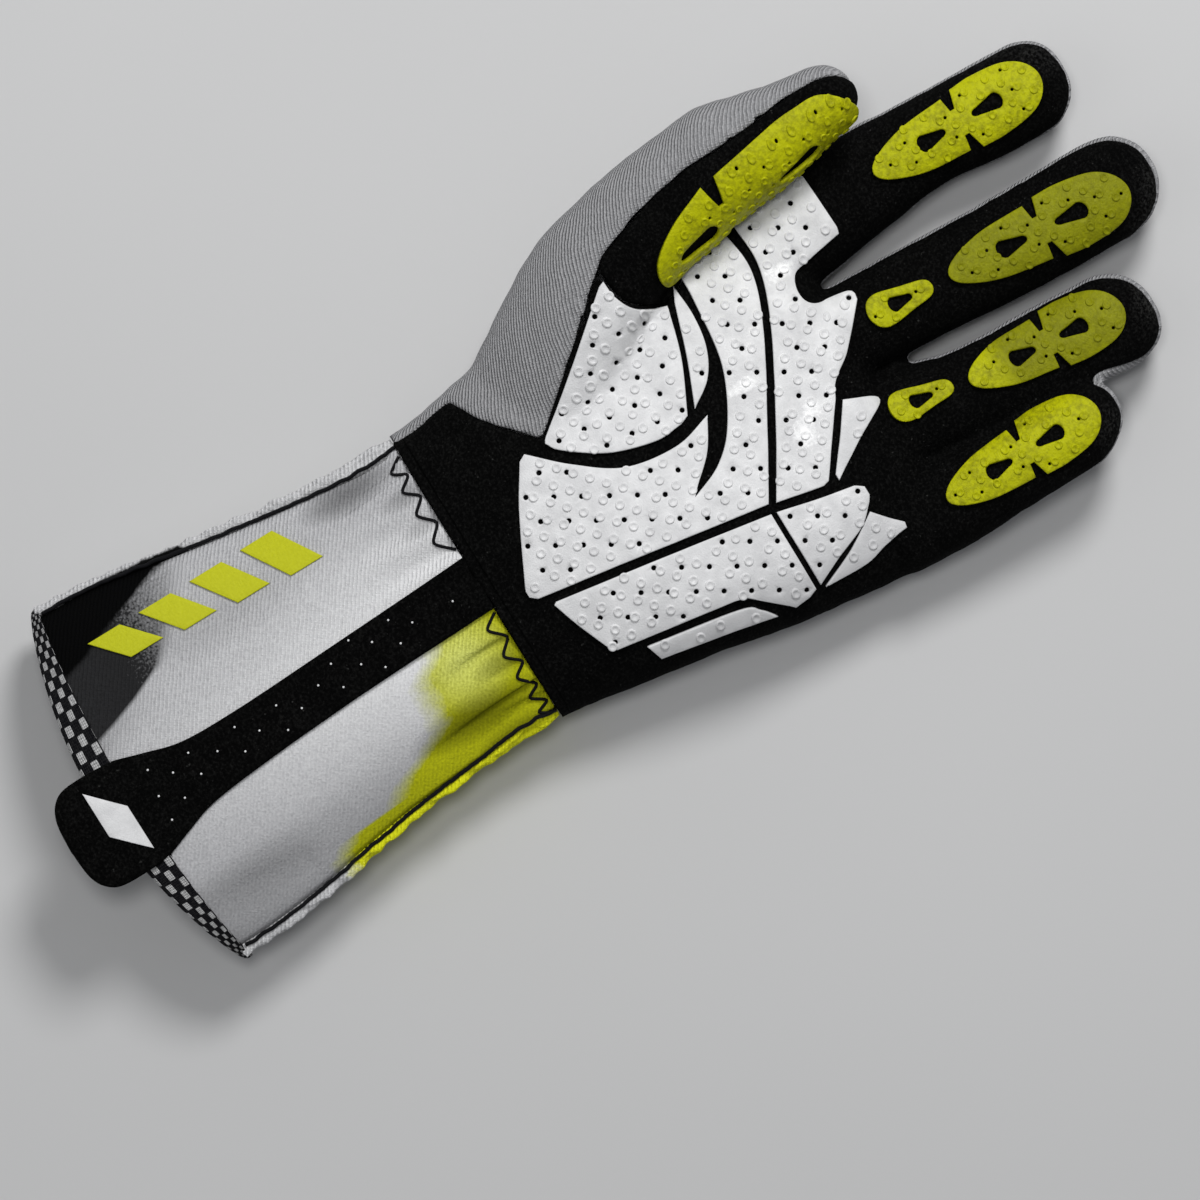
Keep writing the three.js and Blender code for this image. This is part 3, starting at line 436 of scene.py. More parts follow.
def bent_grid(bm, across, along, place, wrap=True):
    """Adds a grid whose shares (u, v) go to place(u, v). wrap joins its two long sides."""
    uv = bm.loops.layers.uv.get("UVMap") or bm.loops.layers.uv.new("UVMap")
    made = bmesh.ops.create_grid(bm, x_segments=across, y_segments=along, size=0.5)
    verts = made["verts"]
    for face in {f for v in verts for f in v.link_faces}:
        for loop in face.loops:
            loop[uv].uv = (loop.vert.co.x + 0.5, loop.vert.co.y + 0.5)
    for v in verts:
        v.co = place(v.co.x + 0.5, v.co.y + 0.5)
    if wrap:
        bmesh.ops.remove_doubles(bm, verts=verts, dist=1e-4)
    return [v for v in verts if v.is_valid]


def close_ends(bm):
    bmesh.ops.holes_fill(bm, edges=[e for e in bm.edges if e.is_boundary], sides=0)
    bmesh.ops.recalc_face_normals(bm, faces=bm.faces)


def tube(rows, tip=None, grow=0.0, start=None, end=None, columns=40, step=2.5):
    """A closed tube through a table's rows, from start to end, with a round tip if it has one."""
    grow_at = grow if callable(grow) else lambda y: grow
    y0 = rows[0][0] if start is None else start
    y1 = rows[-1][0] if end is None else end
    count = max(2, round((y1 - y0) / step))
    sections = []
    for i in range(count + 1):
        y = y0 + (y1 - y0) * i / count
        row = between(rows, y)
        g = grow_at(y)
        sections.append([row[0], row[1], row[2] + g, row[3] - g, row[4] + g, row[5]])
    if tip and end is None:
        for i in range(1, 10):
            share = math.sin(math.pi / 2 * i / 9)
            sections.append(tip_row(rows, tip, share, grow_at(tip[1])))
    bm = bmesh.new()
    last = len(sections) - 1
    bent_grid(bm, columns, last, lambda u, v: oval(sections[round(v * last)], 2 * math.pi * u))
    close_ends(bm)
    return bm


def to_mesh(bm, name="shape"):
    mesh = bpy.data.meshes.new(name)
    bm.to_mesh(mesh)
    bm.free()
    return mesh


def joined(*shapes):
    """One bmesh of several."""
    bm = bmesh.new()
    for shape in shapes:
        mesh = to_mesh(shape)
        bm.from_mesh(mesh)
        bpy.data.meshes.remove(mesh)
    return bm


def with_modifier(bm, kind, **settings):
    """The bmesh after one modifier."""
    obj = bpy.data.objects.new("work", to_mesh(bm))
    bpy.context.collection.objects.link(obj)
    modifier = obj.modifiers.new("work", kind)
    for key, value in settings.items():
        setattr(modifier, key, value)
    graph = bpy.context.evaluated_depsgraph_get()
    mesh = bpy.data.meshes.new_from_object(obj.evaluated_get(graph), depsgraph=graph)
    out = bmesh.new()
    out.from_mesh(mesh)
    old = obj.data
    bpy.data.objects.remove(obj)
    bpy.data.meshes.remove(old)
    bpy.data.meshes.remove(mesh)
    return out


def boolean(bm, cutter, operation="DIFFERENCE"):
    """The bmesh cut by, or kept inside, another closed one. Both are used up."""
    tool = bpy.data.objects.new("tool", to_mesh(cutter))
    bpy.context.collection.objects.link(tool)
    out = with_modifier(bm, "BOOLEAN", object=tool, operation=operation, solver="MANIFOLD")
    old = tool.data
    bpy.data.objects.remove(tool)
    bpy.data.meshes.remove(old)
    return out


def outline(stretches, step=0.8, place=None):
    """Points of an outline, evenly spaced along each stretch."""
    points = []
    for stretch in stretches:
        knots = [Vector(place(*p)) if place else Vector(p) for p in stretch]
        if len(knots) == 2:
            line = knots
        else:
            line = through([2 * knots[0] - knots[1], *knots, 2 * knots[-1] - knots[-2]], 12)
        points += line
    return evenly(points, step, closed=True)


def spline(a, b, c, d, t):
    """A point of a smooth curve between b and c."""
    return 0.5 * (2 * b + (c - a) * t + (2 * a - 5 * b + 4 * c - d) * t**2 + (3 * b - a - 3 * c + d) * t**3)


def through(ends, count):
    """Points of a smooth curve through the knots, without the first and the last of them."""
    line = [spline(*ends[k - 1 : k + 3], i / count) for k in range(1, len(ends) - 2) for i in range(count)]
    return [*line, ends[-2]]


def evenly(points, step, closed=False):
    """Points at even steps along a line, with its sharp corners kept."""
    clean = [p for i, p in enumerate(points) if i == 0 or (p - points[i - 1]).length > 1e-3]
    if closed and (clean[0] - clean[-1]).length < 1e-3:
        clean.pop()
    n = len(clean)
    corners = []
    for i in range(n):
        a, b, c = clean[i - 1], clean[i], clean[(i + 1) % n]
        sharp = (b - a).angle(c - b, 0.0) > 0.5
        if sharp or (not closed and i in (0, n - 1)):
            corners.append(i)
    if not corners:
        corners = [0]
    out = []
    runs = [(corners[i], corners[(i + 1) % len(corners)]) for i in range(len(corners))]
    if not closed:
        runs = runs[:-1]
    for a, b in runs:
        run = [clean[a]]
        k = a
        while True:
            k = (k + 1) % n
            run.append(clean[k])
            if k == b:
                break
        total = sum((run[i + 1] - run[i]).length for i in range(len(run) - 1))
        count = max(1, round(total / step))
        travelled, i = 0.0, 0
        for j in range(count):
            goal = total * j / count
            while travelled + (run[i + 1] - run[i]).length < goal - 1e-9:
                travelled += (run[i + 1] - run[i]).length
                i += 1
            part = (run[i + 1] - run[i]).length
            out.append(run[i].lerp(run[i + 1], (goal - travelled) / part if part else 0))
    if not closed:
        out.append(clean[-1])
    return out


def area(points):
    return sum(a.cross(b) for a, b in zip(points, points[1:] + points[:1])) / 2


def widened(points, distance):
    """The outline moved outwards by a distance."""
    turn = 1 if area(points) > 0 else -1
    out = []
    for i, p in enumerate(points):
        a = (p - points[i - 1]).normalized()
        b = (points[(i + 1) % len(points)] - p).normalized()
        normal = Vector((a.y + b.y, -a.x - b.x)) * turn
        normal = normal.normalized() if normal.length > 1e-6 else Vector((a.y, -a.x)) * turn
        slant = max(0.6, abs(normal.dot(Vector((a.y, -a.x)))))
        out.append(p + normal * distance / slant)
    return out


def stack(levels):
    """A closed shape of outlines with the same number of points, one above the other."""
    bm = bmesh.new()
    count = len(levels[0][1])
    last = len(levels) - 1

    def place(u, v):
        height, points = levels[round(v * last)]
        p = points[round(u * count) % count]
        return Vector((p.x, p.y, height))

    bent_grid(bm, count, last, place)
    close_ends(bm)
    return bm


def prism(points, low=-90.0, high=90.0):
    return stack([(low, points), (high, points)])


def gridded(bm, pitch):
    """Cuts a flat shape by planes across X and Y, so that it can bend."""
    for axis in range(2):
        values = [v.co[axis] for v in bm.verts]
        k = math.ceil(min(values) / pitch)
        while k * pitch < max(values):
            plane = Vector((0, 0, 0))
            plane[axis] = k * pitch + 0.013
            normal = Vector((1, 0, 0)) if axis == 0 else Vector((0, 1, 0))
            bmesh.ops.bisect_plane(
                bm, geom=bm.verts[:] + bm.edges[:] + bm.faces[:], plane_co=plane, plane_no=normal, dist=1e-4
            )
            k += 1
    return bm


class Ground:
    """A surface that flat pieces are laid on, seen along a direction."""

    def __init__(self, bm, turn=0.0):
        bm.normal_update()
        self.tree = BVHTree.FromBMesh(bm)
        self.normals = [v.normal.copy() for v in bm.verts]
        self.faces = [[v.index for v in f.verts] for f in bm.faces]
        self.corners = [v.co.copy() for v in bm.verts]
        angle = math.radians(turn)
        self.out = Vector((math.sin(angle), 0, math.cos(angle)))
        self.side = Vector((math.cos(angle), 0, -math.sin(angle)))

    def point(self, u, v):
        """The surface point and smooth normal under the flat point (u, v)."""
        start = self.side * u + Vector((0, v, 0)) + self.out * 200
        hit, normal, index, _ = self.tree.ray_cast(start, -self.out)
        if hit is None:
            hit, normal, index, _ = self.tree.find_nearest(start - self.out * 190)
        corners = self.faces[index]
        weights = nearness([self.corners[i] for i in corners], hit)
        smooth = sum((self.normals[i] * w for i, w in zip(corners, weights)), Vector())
        return hit, (smooth.normalized() if smooth.length > 1e-6 else normal)

    def lay(self, bm, lift):
        """Moves each vertex (u, v, h) of a flat shape to h above the surface."""
        for v in bm.verts:
            place, normal = self.point(v.co.x, v.co.y)
            v.co = place + normal * (v.co.z + lift)
        return bm


def nearness(corners, point):
    """Weights of a face's corners at a point, by nearness. Those of a many-sided end count alike."""
    if len(corners) > 4:
        return [1 / len(corners)] * len(corners)
    near = [1 / max((c - point).length, 1e-4) ** 2 for c in corners]
    total = sum(near)
    return [n / total for n in near]


# Forms that the pieces follow


def facing(rows, tip, turn, far=70.0):
    """Everything on the leather's side of the seam of the thumb."""
    angle = math.radians(turn)
    out = Vector((math.cos(angle), 0, math.sin(angle)))
    side = Vector((-out.z, 0, out.x))
    end = tip[1] + PAST_TIP
    table = [*rows, (end, tip[0], *rows[-1][2:])]
    corners = ((-far, 0), (far, 0), (far, far), (-far, far))
    bm = bmesh.new()

    def place(u, v):
        row = between(table, table[0][0] + (end - table[0][0]) * v)
        middle = Vector((row[1], row[0], (row[3] + row[4]) / 2))
        a, b = corners[round(u * 4) % 4]
        return middle - side * a + out * b

    bent_grid(bm, 4, 30, place)
    close_ends(bm)
    return bm


@functools.cache
def seam_rows(y):
    """At y, the centre and the seam's height of the palm and of each finger."""
    out = []
    row = between(body_rows(), min(y, ROOTS))
    palm = (row[1], (row[3] + row[4]) / 2 + SEAM_LIFT)
    for name in FINGERS:
        table, tip = finger_rows(name)
        last = table[-1]
        rise = TIP_RISES[name]
        table.append((tip[1] + PAST_TIP, tip[0], last[2], last[3] + 2 * rise, *last[4:]))
        row = between(table, max(table[0][0], min(y, tip[1] + PAST_TIP)))
        past = math.exp(-max(0.0, y - tip[1]) / 3)
        out.append((row[1], (row[3] + row[4]) / 2 + FINGER_SEAM_LIFT, past))
    return palm, out


def seam_height(x, y):
    """How high the seam between the leather and the cloth runs at a place on the palm or the fingers."""
    palm, fingers = seam_rows(y)
    height = palm[1] - (x - palm[0]) * SEAM_SLANT
    share = min(1.0, max(0.0, (y - ROOTS + 16) / 16))
    if share:
        weights = [math.exp(-(((x - centre) / 7) ** 2)) * past + 1e-12 for centre, _, past in fingers]
        slants = [h - max(-14, min(14, x - c)) * FINGER_SEAM_SLANT for c, h, _ in fingers]
        finger = sum(w * h for w, h in zip(weights, slants)) / sum(weights)
        height += (finger - height) * share * share * (3 - 2 * share)
    return height


def above_seam():
    """Everything above the seam between the leather and the cloth, from the wrist to past the fingertips."""
    xs = [-84 + 1.5 * i for i in range(116)]
    count = len(xs) + 2
    bm = bmesh.new()

    def place(u, v):
        y = WRIST - 5 + (180 - WRIST) * v
        i = round(u * count) % count
        if i >= len(xs):
            return Vector((xs[-1] if i == len(xs) else xs[0], y, 90))
        return Vector((xs[i], y, seam_height(xs[i], y)))

    bent_grid(bm, count, 150, place)
    close_ends(bm)
    return bm


@functools.cache
def form_mesh(thumb):
    """The whole hand as one smooth skin. thumb False stops the thumb at its base."""
    rows, tip = thumb_rows()
    body = tube(body_rows(), start=-62, columns=96)
    if thumb:
        body = boolean(body, tube(rows, tip, grow=1.7, start=THUMB_WEB, columns=48))
    parts = [body]
    for name in FINGERS:
        table, end = finger_rows(name)
        parts.append(tube(table, end))
    parts.append(tube(rows, tip, end=None if thumb else 42, columns=48))
    bm = with_modifier(joined(*parts), "REMESH", mode="VOXEL", voxel_size=VOXEL, adaptivity=0)
    for _ in range(5):
        bmesh.ops.smooth_vert(bm, verts=bm.verts, factor=0.5, use_axis_x=True, use_axis_y=True, use_axis_z=True)
    for v in bm.verts:
        v.co.z = max(v.co.z, 0.0)
    bmesh.ops.smooth_vert(bm, verts=bm.verts, factor=0.3, use_axis_x=True, use_axis_y=True, use_axis_z=True)
    for v in bm.verts:
        ripple(v)
    bmesh.ops.triangulate(bm, faces=bm.faces)
    return to_mesh(bm, "form")


def ripple(v):
    """Small creases in the leather and cloth of the hand."""
    x, y, z = v.co
    wrist = math.exp(-(((y + 34) / 7) ** 2))
    soft = noise.noise(Vector((x / 9, y / 5, z / 9))) * 0.22
    fold = noise.noise(Vector((x / 5 + 31, y / 16, z / 7))) * 0.45 * wrist
    if z > 0.3:
        v.co += v.normal * (soft + fold)
        v.co.z = max(v.co.z, 0.0)


def copied(mesh):
    bm = bmesh.new()
    bm.from_mesh(mesh)
    return bm


@functools.cache
def palm_ground():
    return Ground(copied(form_mesh(False)))


@functools.cache
def thumb_ground():
    rows, tip = thumb_rows()
    return Ground(tube(rows, tip, columns=64, step=1.5), THUMB_PAD["turn"])


def cuff_point(u, v, grow=0.0, ripples=True):
    """A point of the cuff's skin: u goes round from the little finger's side over the front, v is Y."""
    row = between(body_rows(), v)
    angle = 2 * math.pi * u
    p = oval(row, angle, grow - CUFF_STEP)
    normal = (p - Vector((row[1], row[0], (row[3] + row[4]) / 2))).normalized()
    if ripples:
        p = p + normal * cuff_ripple(p, angle)
        for line, sign in ((SEAM_LITTLE, 1), (SEAM_THUMB, -1)):
            past = sign * (2 * math.pi * seam_angle(line, v) - angle)
            past = (past + math.pi) % (2 * math.pi) - math.pi
            p = p + (normal + Vector((0, 0, 0.8))).normalized() * rolled_edge(past * (row[2] * 0.62), p)
    p.z = max(p.z, CUFF_STEP - grow)
    return p


def rolled_edge(past, p):
    """The cloth bulges into a lumpy roll just past a side seam. past is the distance from the seam."""
    if past < -2.5 or past > 7:
        return 0.0
    if past < 0:
        return -0.6 * (1 + past / 2.5)
    lump = 1 + 0.7 * noise.noise(Vector((p.y / 3.4, past / 5, 7)))
    lump += 0.5 * noise.noise(Vector((p.y / 10, 3, p.x)))
    roll = 1.9 * math.sin(math.pi * min(1.0, past / 6)) ** 0.7 * lump - 0.6 * max(0.0, 1 - past / 0.8)
    return roll * min(1.0, max(0.0, (WRIST - p.y) / 6))


def cuff_ripple(p, angle):
    """Gathers under the wrist seam and soft folds further down."""
    near = math.exp(-(((p.y + 43) / 13) ** 2))
    wave = math.cos(30 * angle + 2.5 * noise.noise(Vector((angle * 3, p.y / 30, 0))))
    gather = wave * near * sizes("gathers") * (0.7 + 0.6 * noise.noise(Vector((angle * 5, 3, 1))))
    soft = noise.noise(Vector((p.x / 17 + 5, p.y / 42, p.z / 20))) * 0.8 * min(1, (WRIST - p.y) / 25)
    fine = noise.noise(Vector((p.x / 7, p.y / 19, p.z / 9 + 9))) * 0.25
    folds = 0.0
    if math.sin(angle) > 0:
        for x, top, bottom, lean, width, depth in FOLDS:
            down = (top - p.y) / (top - bottom)
            if 0 < down < 1:
                off = (p.x - x - lean * down) / width
                folds += depth * math.exp(-off * off) * math.sin(math.pi * min(1.0, down * 0.85 + 0.15)) ** 0.8
    return gather + soft * math.exp(-(((p.y + 80) / 60) ** 4)) + fine + folds


@functools.cache
def cuff_ground():
    bm = bmesh.new()
    bent_grid(bm, 160, 90, lambda u, v: cuff_point(u, WRIST + 1 + (HEM - 14 - WRIST) * v))
    bmesh.ops.recalc_face_normals(bm, faces=bm.faces)
    return Ground(bm)


def on_cuff(a, b):
    return (a * HEM_WIDTH, WRIST - b * CUFF_LENGTH)


def on_tab(a, b):
    return (a * HEM_WIDTH, TAB_TOP + (TAB_END - TAB_TOP) * b)


def hem_y(x, distance=0.0, arc=HEM_ARC):
    return HEM + distance + arc * (2 * x / HEM_WIDTH) ** 2


def line_x(points, y):
    """Where a line down the cuff crosses y."""
    line = [Vector(on_cuff(*p)) for p in points]
    rows = sorted((p.y, p.x) for p in line)
    return between(rows, y)[1]


# Finishing


def finish_piece(bm, name, material, replaces=(), solid=None):
    """The finished object of a bmesh in millimetres on the hand."""
    bmesh.ops.translate(bm, vec=MIDDLE, verts=bm.verts)
    bmesh.ops.scale(bm, vec=(MM, MM, MM), verts=bm.verts)
    for face in bm.faces:
        face.smooth = True
    if len(bm.faces) == 0:
        raise RuntimeError(f"{name} came out empty")
    mesh = to_mesh(bm, name)
    obj = bpy.data.objects.new(name, mesh)
    bpy.context.collection.objects.link(obj)
    mesh.materials.append(material)
    if solid:
        modifier = obj.modifiers.new("Thickness", "SOLIDIFY")
        modifier.thickness = solid * MM
        modifier.offset = -1
        modifier.use_even_offset = False
    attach(obj, "root")
    if replaces:
        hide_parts(*replaces)
    return obj


def skin_of(bm, skin):
    """Keeps only the faces that lie on a skin, so that a cut solid becomes an open sheet."""
    tree = BVHTree.FromBMesh(skin)
    bm.normal_update()
    gone = []
    for face in bm.faces:
        _, normal, _, distance = tree.find_nearest(face.calc_center_median())
        if distance > 0.02 or normal.dot(face.normal) < 0.95:
            gone.append(face)
    bmesh.ops.delete(bm, geom=gone, context="FACES")
    loose = [v for v in bm.verts if not v.link_faces]
    bmesh.ops.delete(bm, geom=loose, context="VERTS")
    return bm


def biggest(bm):
    """Keeps the largest connected sheet, and any other of more than 300 faces."""
    left = set(bm.faces)
    groups = []
    while left:
        seed = left.pop()
        group, edge = {seed}, [seed]
        while edge:
            face = edge.pop()
            for e in face.edges:
                for other in e.link_faces:
                    if other in left:
                        left.discard(other)
                        group.add(other)
                        edge.append(other)
        groups.append(group)
    groups.sort(key=len, reverse=True)
    gone = [f for g in groups[1:] if len(g) < 300 for f in g]
    bmesh.ops.delete(bm, geom=gone, context="FACES")
    return bm


def smooth_rim(bm, rounds):
    """Evens out the steps along a sheet's edges, with the faces next to them."""
    around = {}
    for v in bm.verts:
        ends = [e.other_vert(v) for e in v.link_edges]
        if v.is_boundary:
            ends = [e.other_vert(v) for e in v.link_edges if e.is_boundary]
            if len(ends) != 2:
                continue
        elif not any(end.is_boundary for end in ends):
            continue
        if v.co.y > WRIST + 1:
            around[v] = ends
    for _ in range(rounds):
        goals = [(v, sum((end.co for end in ends), Vector()) / len(ends)) for v, ends in around.items()]
        for v, goal in goals:
            v.co = v.co.lerp(goal, 0.5)


def drop_slivers(bm, skin):
    """Removes the folded slivers along a sheet's edges."""
    for _ in range(4):
        bm.normal_update()
        folded = [f for f in bm.faces if any(v.is_boundary for v in f.verts)
                  and f.normal.dot(skin.find_nearest(f.calc_center_median())[1]) < 0.7]
        lone = [f for f in bm.faces if sum(e.is_boundary for e in f.edges) > 1]
        bmesh.ops.delete(bm, geom=list(set(folded + lone)), context="FACES")


def pull_in(bm, skin, depth, reach=2.2):
    """Draws a sheet in along its edges, as a seam does, but for the edge at the wrist."""
    rim = [v for v in bm.verts if v.is_boundary and v.co.y > WRIST + 1]
    tree = kdtree.KDTree(len(rim))
    for i, v in enumerate(rim):
        tree.insert(v.co, i)
    tree.balance()
    moves = []
    for v in bm.verts:
        distance = tree.find(v.co)[2]
        if distance < reach:
            moves.append((v, skin.find_nearest(v.co)[1] * -depth * (1 - distance / reach) ** 2))
    for v, move in moves:
        v.co += move
        v.co.z = max(v.co.z, 0.0)


# Shaders


class Wire:
    """A shader value that arithmetic adds Math nodes for."""

    def __init__(self, shader, socket):
        self.shader = shader
        self.socket = socket

    def math(self, operation, *values):
        return self.shader.node("ShaderNodeMath", {"operation": operation}, self, *values)

    def reflected(self, operation, other):
        return self.shader.node("ShaderNodeMath", {"operation": operation}, other, self)

    def __add__(self, other):
        return self.math("ADD", other)

    __radd__ = __add__

    def __mul__(self, other):
        return self.math("MULTIPLY", other)

    __rmul__ = __mul__

    def __sub__(self, other):
        return self.math("SUBTRACT", other)

    def __rsub__(self, other):
        return self.reflected("SUBTRACT", other)

    def __truediv__(self, other):
        return self.math("DIVIDE", other)

    def __rtruediv__(self, other):
        return self.reflected("DIVIDE", other)

    def __pow__(self, other):
        return self.math("POWER", other)

    def __gt__(self, other):
        return self.math("GREATER_THAN", other)

    def __lt__(self, other):
        return self.math("LESS_THAN", other)

    def clip(self):
        return self.shader.node("ShaderNodeClamp", {}, self, 0.0, 1.0)


class Shader:
    """One material and its nodes."""

    def __init__(self, name, **constants):
        self.material = bpy.data.materials.new(name)
        self.material.use_nodes = True
        self.tree = self.material.node_tree
        self.principled = self.tree.nodes["Principled BSDF"]
        for key, value in constants.items():
            self.principled.inputs[key.replace("_", " ")].default_value = value

    def node(self, kind, settings, *values, output=0, **named):
        """Any node: its type, its settings, and the values or wires of its sockets by place or name."""
        node = self.tree.nodes.new(kind)
        for key, value in settings.items():
            if key == "stops":
                ramp = node.color_ramp
                while len(ramp.elements) < len(value):
                    ramp.elements.new(0.5)
                for element, (place, shade) in zip(ramp.elements, value):
                    element.position = place
                    element.color = (shade, shade, shade, 1) if isinstance(shade, (int, float)) else shade
            else:
                setattr(node, key, value)
        pairs = [(node.inputs[i], v) for i, v in enumerate(values)]
        pairs += [(node.inputs[k.replace("_", " ")], v) for k, v in named.items()]
        for socket, value in pairs:
            if isinstance(value, Wire):
                self.tree.links.new(value.socket, socket)
            elif value is not None:
                socket.default_value = value
        return Wire(self, node.outputs[output])

    def place(self):
        """Object coordinates in millimetres on the hand: the vector and its three numbers."""
        coordinates = self.node("ShaderNodeTexCoord", {}, output=3)
        kind = {"vector_type": "POINT"}
        scale = (1 / MM, 1 / MM, 1 / MM)
        mapped = self.node("ShaderNodeMapping", kind, coordinates, Location=tuple(-MIDDLE), Scale=scale)
        return self.split(mapped)

    def uv(self):
        return self.split(self.node("ShaderNodeUVMap", {"uv_map": "UVMap"}))

    def split(self, vector):
        parts = self.tree.nodes.new("ShaderNodeSeparateXYZ")
        self.tree.links.new(vector.socket, parts.inputs[0])
        return vector, *(Wire(self, parts.outputs[i]) for i in range(3))

    def noise(self, vector, scale, detail=2.0, rough=0.5):
        return self.node("ShaderNodeTexNoise", {}, Vector=vector, Scale=scale, Detail=detail, Roughness=rough)

    def blend(self, factor, a, b, mode="MIX"):
        """A colour between two."""
        node = self.tree.nodes.new("ShaderNodeMix")
        node.data_type = "RGBA"
        node.blend_type = mode
        for index, value in ((0, factor), (6, a), (7, b)):
            if isinstance(value, Wire):
                self.tree.links.new(value.socket, node.inputs[index])
            else:
                node.inputs[index].default_value = value
        return Wire(self, node.outputs[2])

    def grade(self, value, *stops):
        return self.node("ShaderNodeValToRGB", {"stops": stops}, value)

    def paint(self, colour, roughness, height=None, distance=0.0003):
        links, inputs = self.tree.links, self.principled.inputs
        links.new(colour.socket, inputs["Base Color"])
        links.new(roughness.socket, inputs["Roughness"])
        if height is not None:
            bump = self.node("ShaderNodeBump", {}, Strength=1.0, Distance=distance, Height=height)
            links.new(bump.socket, inputs["Normal"])
        return self.material


def away_from(shader, vector, place):
    return shader.node("ShaderNodeVectorMath", {"operation": "DISTANCE"}, vector, place, output=1)


def spot(x, y, centre, across, along):
    """1 in the middle of an oval place, and 0 from its edge on."""
    a, b = (x - centre[0]) / across, (y - centre[1]) / along
    return (1 - a * a - b * b).clip()


def ribs(value, pitch):
    """Even rounded ribs across a value, from 0 to 1."""
    return (value * (2 * math.pi / pitch)).math("SINE") * 0.5 + 0.5


def twill(x, y, slope, pitch):
    """Height of a twill: slanted ribs, each made of short threads."""
    rib = ribs(y + x * slope, pitch)
    thread = ribs(x - y * slope, pitch * 0.62)
    return rib * 0.75 + thread * 0.25 * rib


def cloth_finish():
    shader = Shader("twill_undyed", Specular_IOR_Level=0.12)
    vector, x, y, z = shader.place()
    warp = shader.noise(vector, 0.05, 2)
    wave = shader.noise(vector, 0.5, 2)
    height = twill(x, y + z * 0.6 + warp * 3 + wave * 0.6, 0.33, 1.12)
    speck = shader.noise(vector, 1.6, 3)
    shade = (height * 0.5 + speck * 0.9 - 0.05).clip()
    colour = shader.blend(shade, (0.12, 0.12, 0.125, 1), tint("cloth"))
    rough = speck * 0.1 + 0.8
    return shader.paint(colour, rough, height * 0.8 + speck * 0.5, 0.0006)


# Worn places of the suede on the fingertips
WORN_PLACES = (
    (-38, 156, 18), (-44, 148, 14), (6, 167, 20), (13, 160, 18), (30, 150, 16), (33, 146, 15), (53, 122, 22),
)


def suede_finish():
    shader = Shader("suede_black", Specular_IOR_Level=0.03)
    vector, _, y, _ = shader.place()
    nap = shader.noise(vector, 1.3, 4, 0.7)
    patch = shader.noise(vector, 0.12, 3, 0.6)
    speck = shader.noise(vector, 0.9, 1)
    fleck = (nap * 1.6 - 0.75 + patch * 0.25).clip() ** 2
    worn = 0.0
    for place in WORN_PLACES:
        worn = (1 - away_from(shader, vector, place) / 9).clip() + worn
    fleck = (fleck + worn * (nap * 3.4 - 1.5).clip() + (speck * 9 - 6.6).clip() * 0.8).clip()
    colour = shader.blend(fleck, tint("suede"), (0.04, 0.04, 0.038, 1))
    rough = nap * 0.12 + 0.85
    hem = (1 - (y + 35.5).math("ABSOLUTE") / 0.45).clip()
    return shader.paint(colour, rough, nap - hem * 2, 0.0003)


# Painted highlights on the grip leather: centre and reach across and along
PAINTED_HIGHLIGHT_PLACES = (((-26, 70.5), 3.2, 6), ((-5.4, 46.7), 2.6, 6.5), ((13.4, 54), 6, 4.5), ((9, 59), 4, 3.5))


def grip_finish():
    shader = Shader("grip_leather", Specular_IOR_Level=0.5)
    vector, x, y, _ = shader.place()
    grain = shader.noise(vector, 2.2, 3, 0.6)
    soil = shader.noise(vector, 0.16, 4, 0.65)
    colour = shader.blend((soil * 1.9 - 0.65).clip() * 0.6, tint("grip"), (0.42, 0.42, 0.43, 1))
    # Painted shade: the panels turn greyer towards the little finger's side
    colour = shader.blend(((x - 34) / 12).clip() * 0.4, colour, (0.4, 0.4, 0.41, 1))
    # Painted highlights: white flecks blended into the colour at those places
    highlight_spots = 0
    for place in PAINTED_HIGHLIGHT_PLACES:
        highlight_spots = spot(x, y, *place) + highlight_spots
    highlight_flecks = (highlight_spots * 1.6 + shader.noise(vector, 0.8, 4, 0.7) * 3.4 - 2.35).clip()
    colour = shader.blend(highlight_flecks * (highlight_spots > 0.01), colour, (1, 1, 1, 1))
    rough = (grain * 0.2 + soil * 0.75 - 0.02).clip() + 0.12
    return shader.paint(colour, rough, grain + soil * 0.9, 0.00014)


def print_finish():
    shader = Shader("cuff_print", Specular_IOR_Level=0.2)
    vector = shader.place()[0]
    grain = shader.noise(vector, 1.4, 3, 0.6)
    colour = shader.blend(grain * 0.5, tint("dye_yellow"), (0.3, 0.31, 0.004, 1))
    return shader.paint(colour, grain * 0.2 + 0.5, grain, 0.0002)


def rubber_finish():
    shader = Shader("pad_rubber", Specular_IOR_Level=0.13)
    vector, x, y, _ = shader.place()
    grain = shader.noise(vector, 1.8, 3, 0.6)
    soil = shader.noise(vector, 0.11, 3, 0.6)
    mottle = shader.noise(vector, 0.75, 3, 0.6)
    mask = (soil * 1.6 - 0.75 + (mottle - 0.42) * 2.6).clip()
    colour = shader.blend(mask * 0.85, tint("rubber"), (0.19, 0.19, 0.003, 1))
    # Painted shade dims the pads of the middle and the ring finger
    painted_shade_pads = ((x + 12) / 6).clip() * ((38 - x) / 4).clip() * ((y - 104) / 6).clip()
    colour = shader.blend(painted_shade_pads * (grain * 0.5 + 0.45).clip(), colour, (0.15, 0.155, 0.003, 1))
    rough = grain * 0.25 + 0.38
    return shader.paint(colour, rough, grain + mottle, 0.0002)


# Painted shade in the hollows between the cuff's folds: centre, reach across and along, and how dark
SHADED_HOLLOWS = (
    ((31, -57), 6, 20, 0.75), ((22, -44), 3, 9, 0.45), ((40, -50), 4, 12, 0.5), ((-36, -55), 5.5, 15, 0.7),
    ((-27, -43), 3, 8, 0.4), ((-18, -43), 2.5, 7, 0.3), ((36, -128), 8, 24, 0.25), ((-24, -96), 7, 26, 0.15),
)


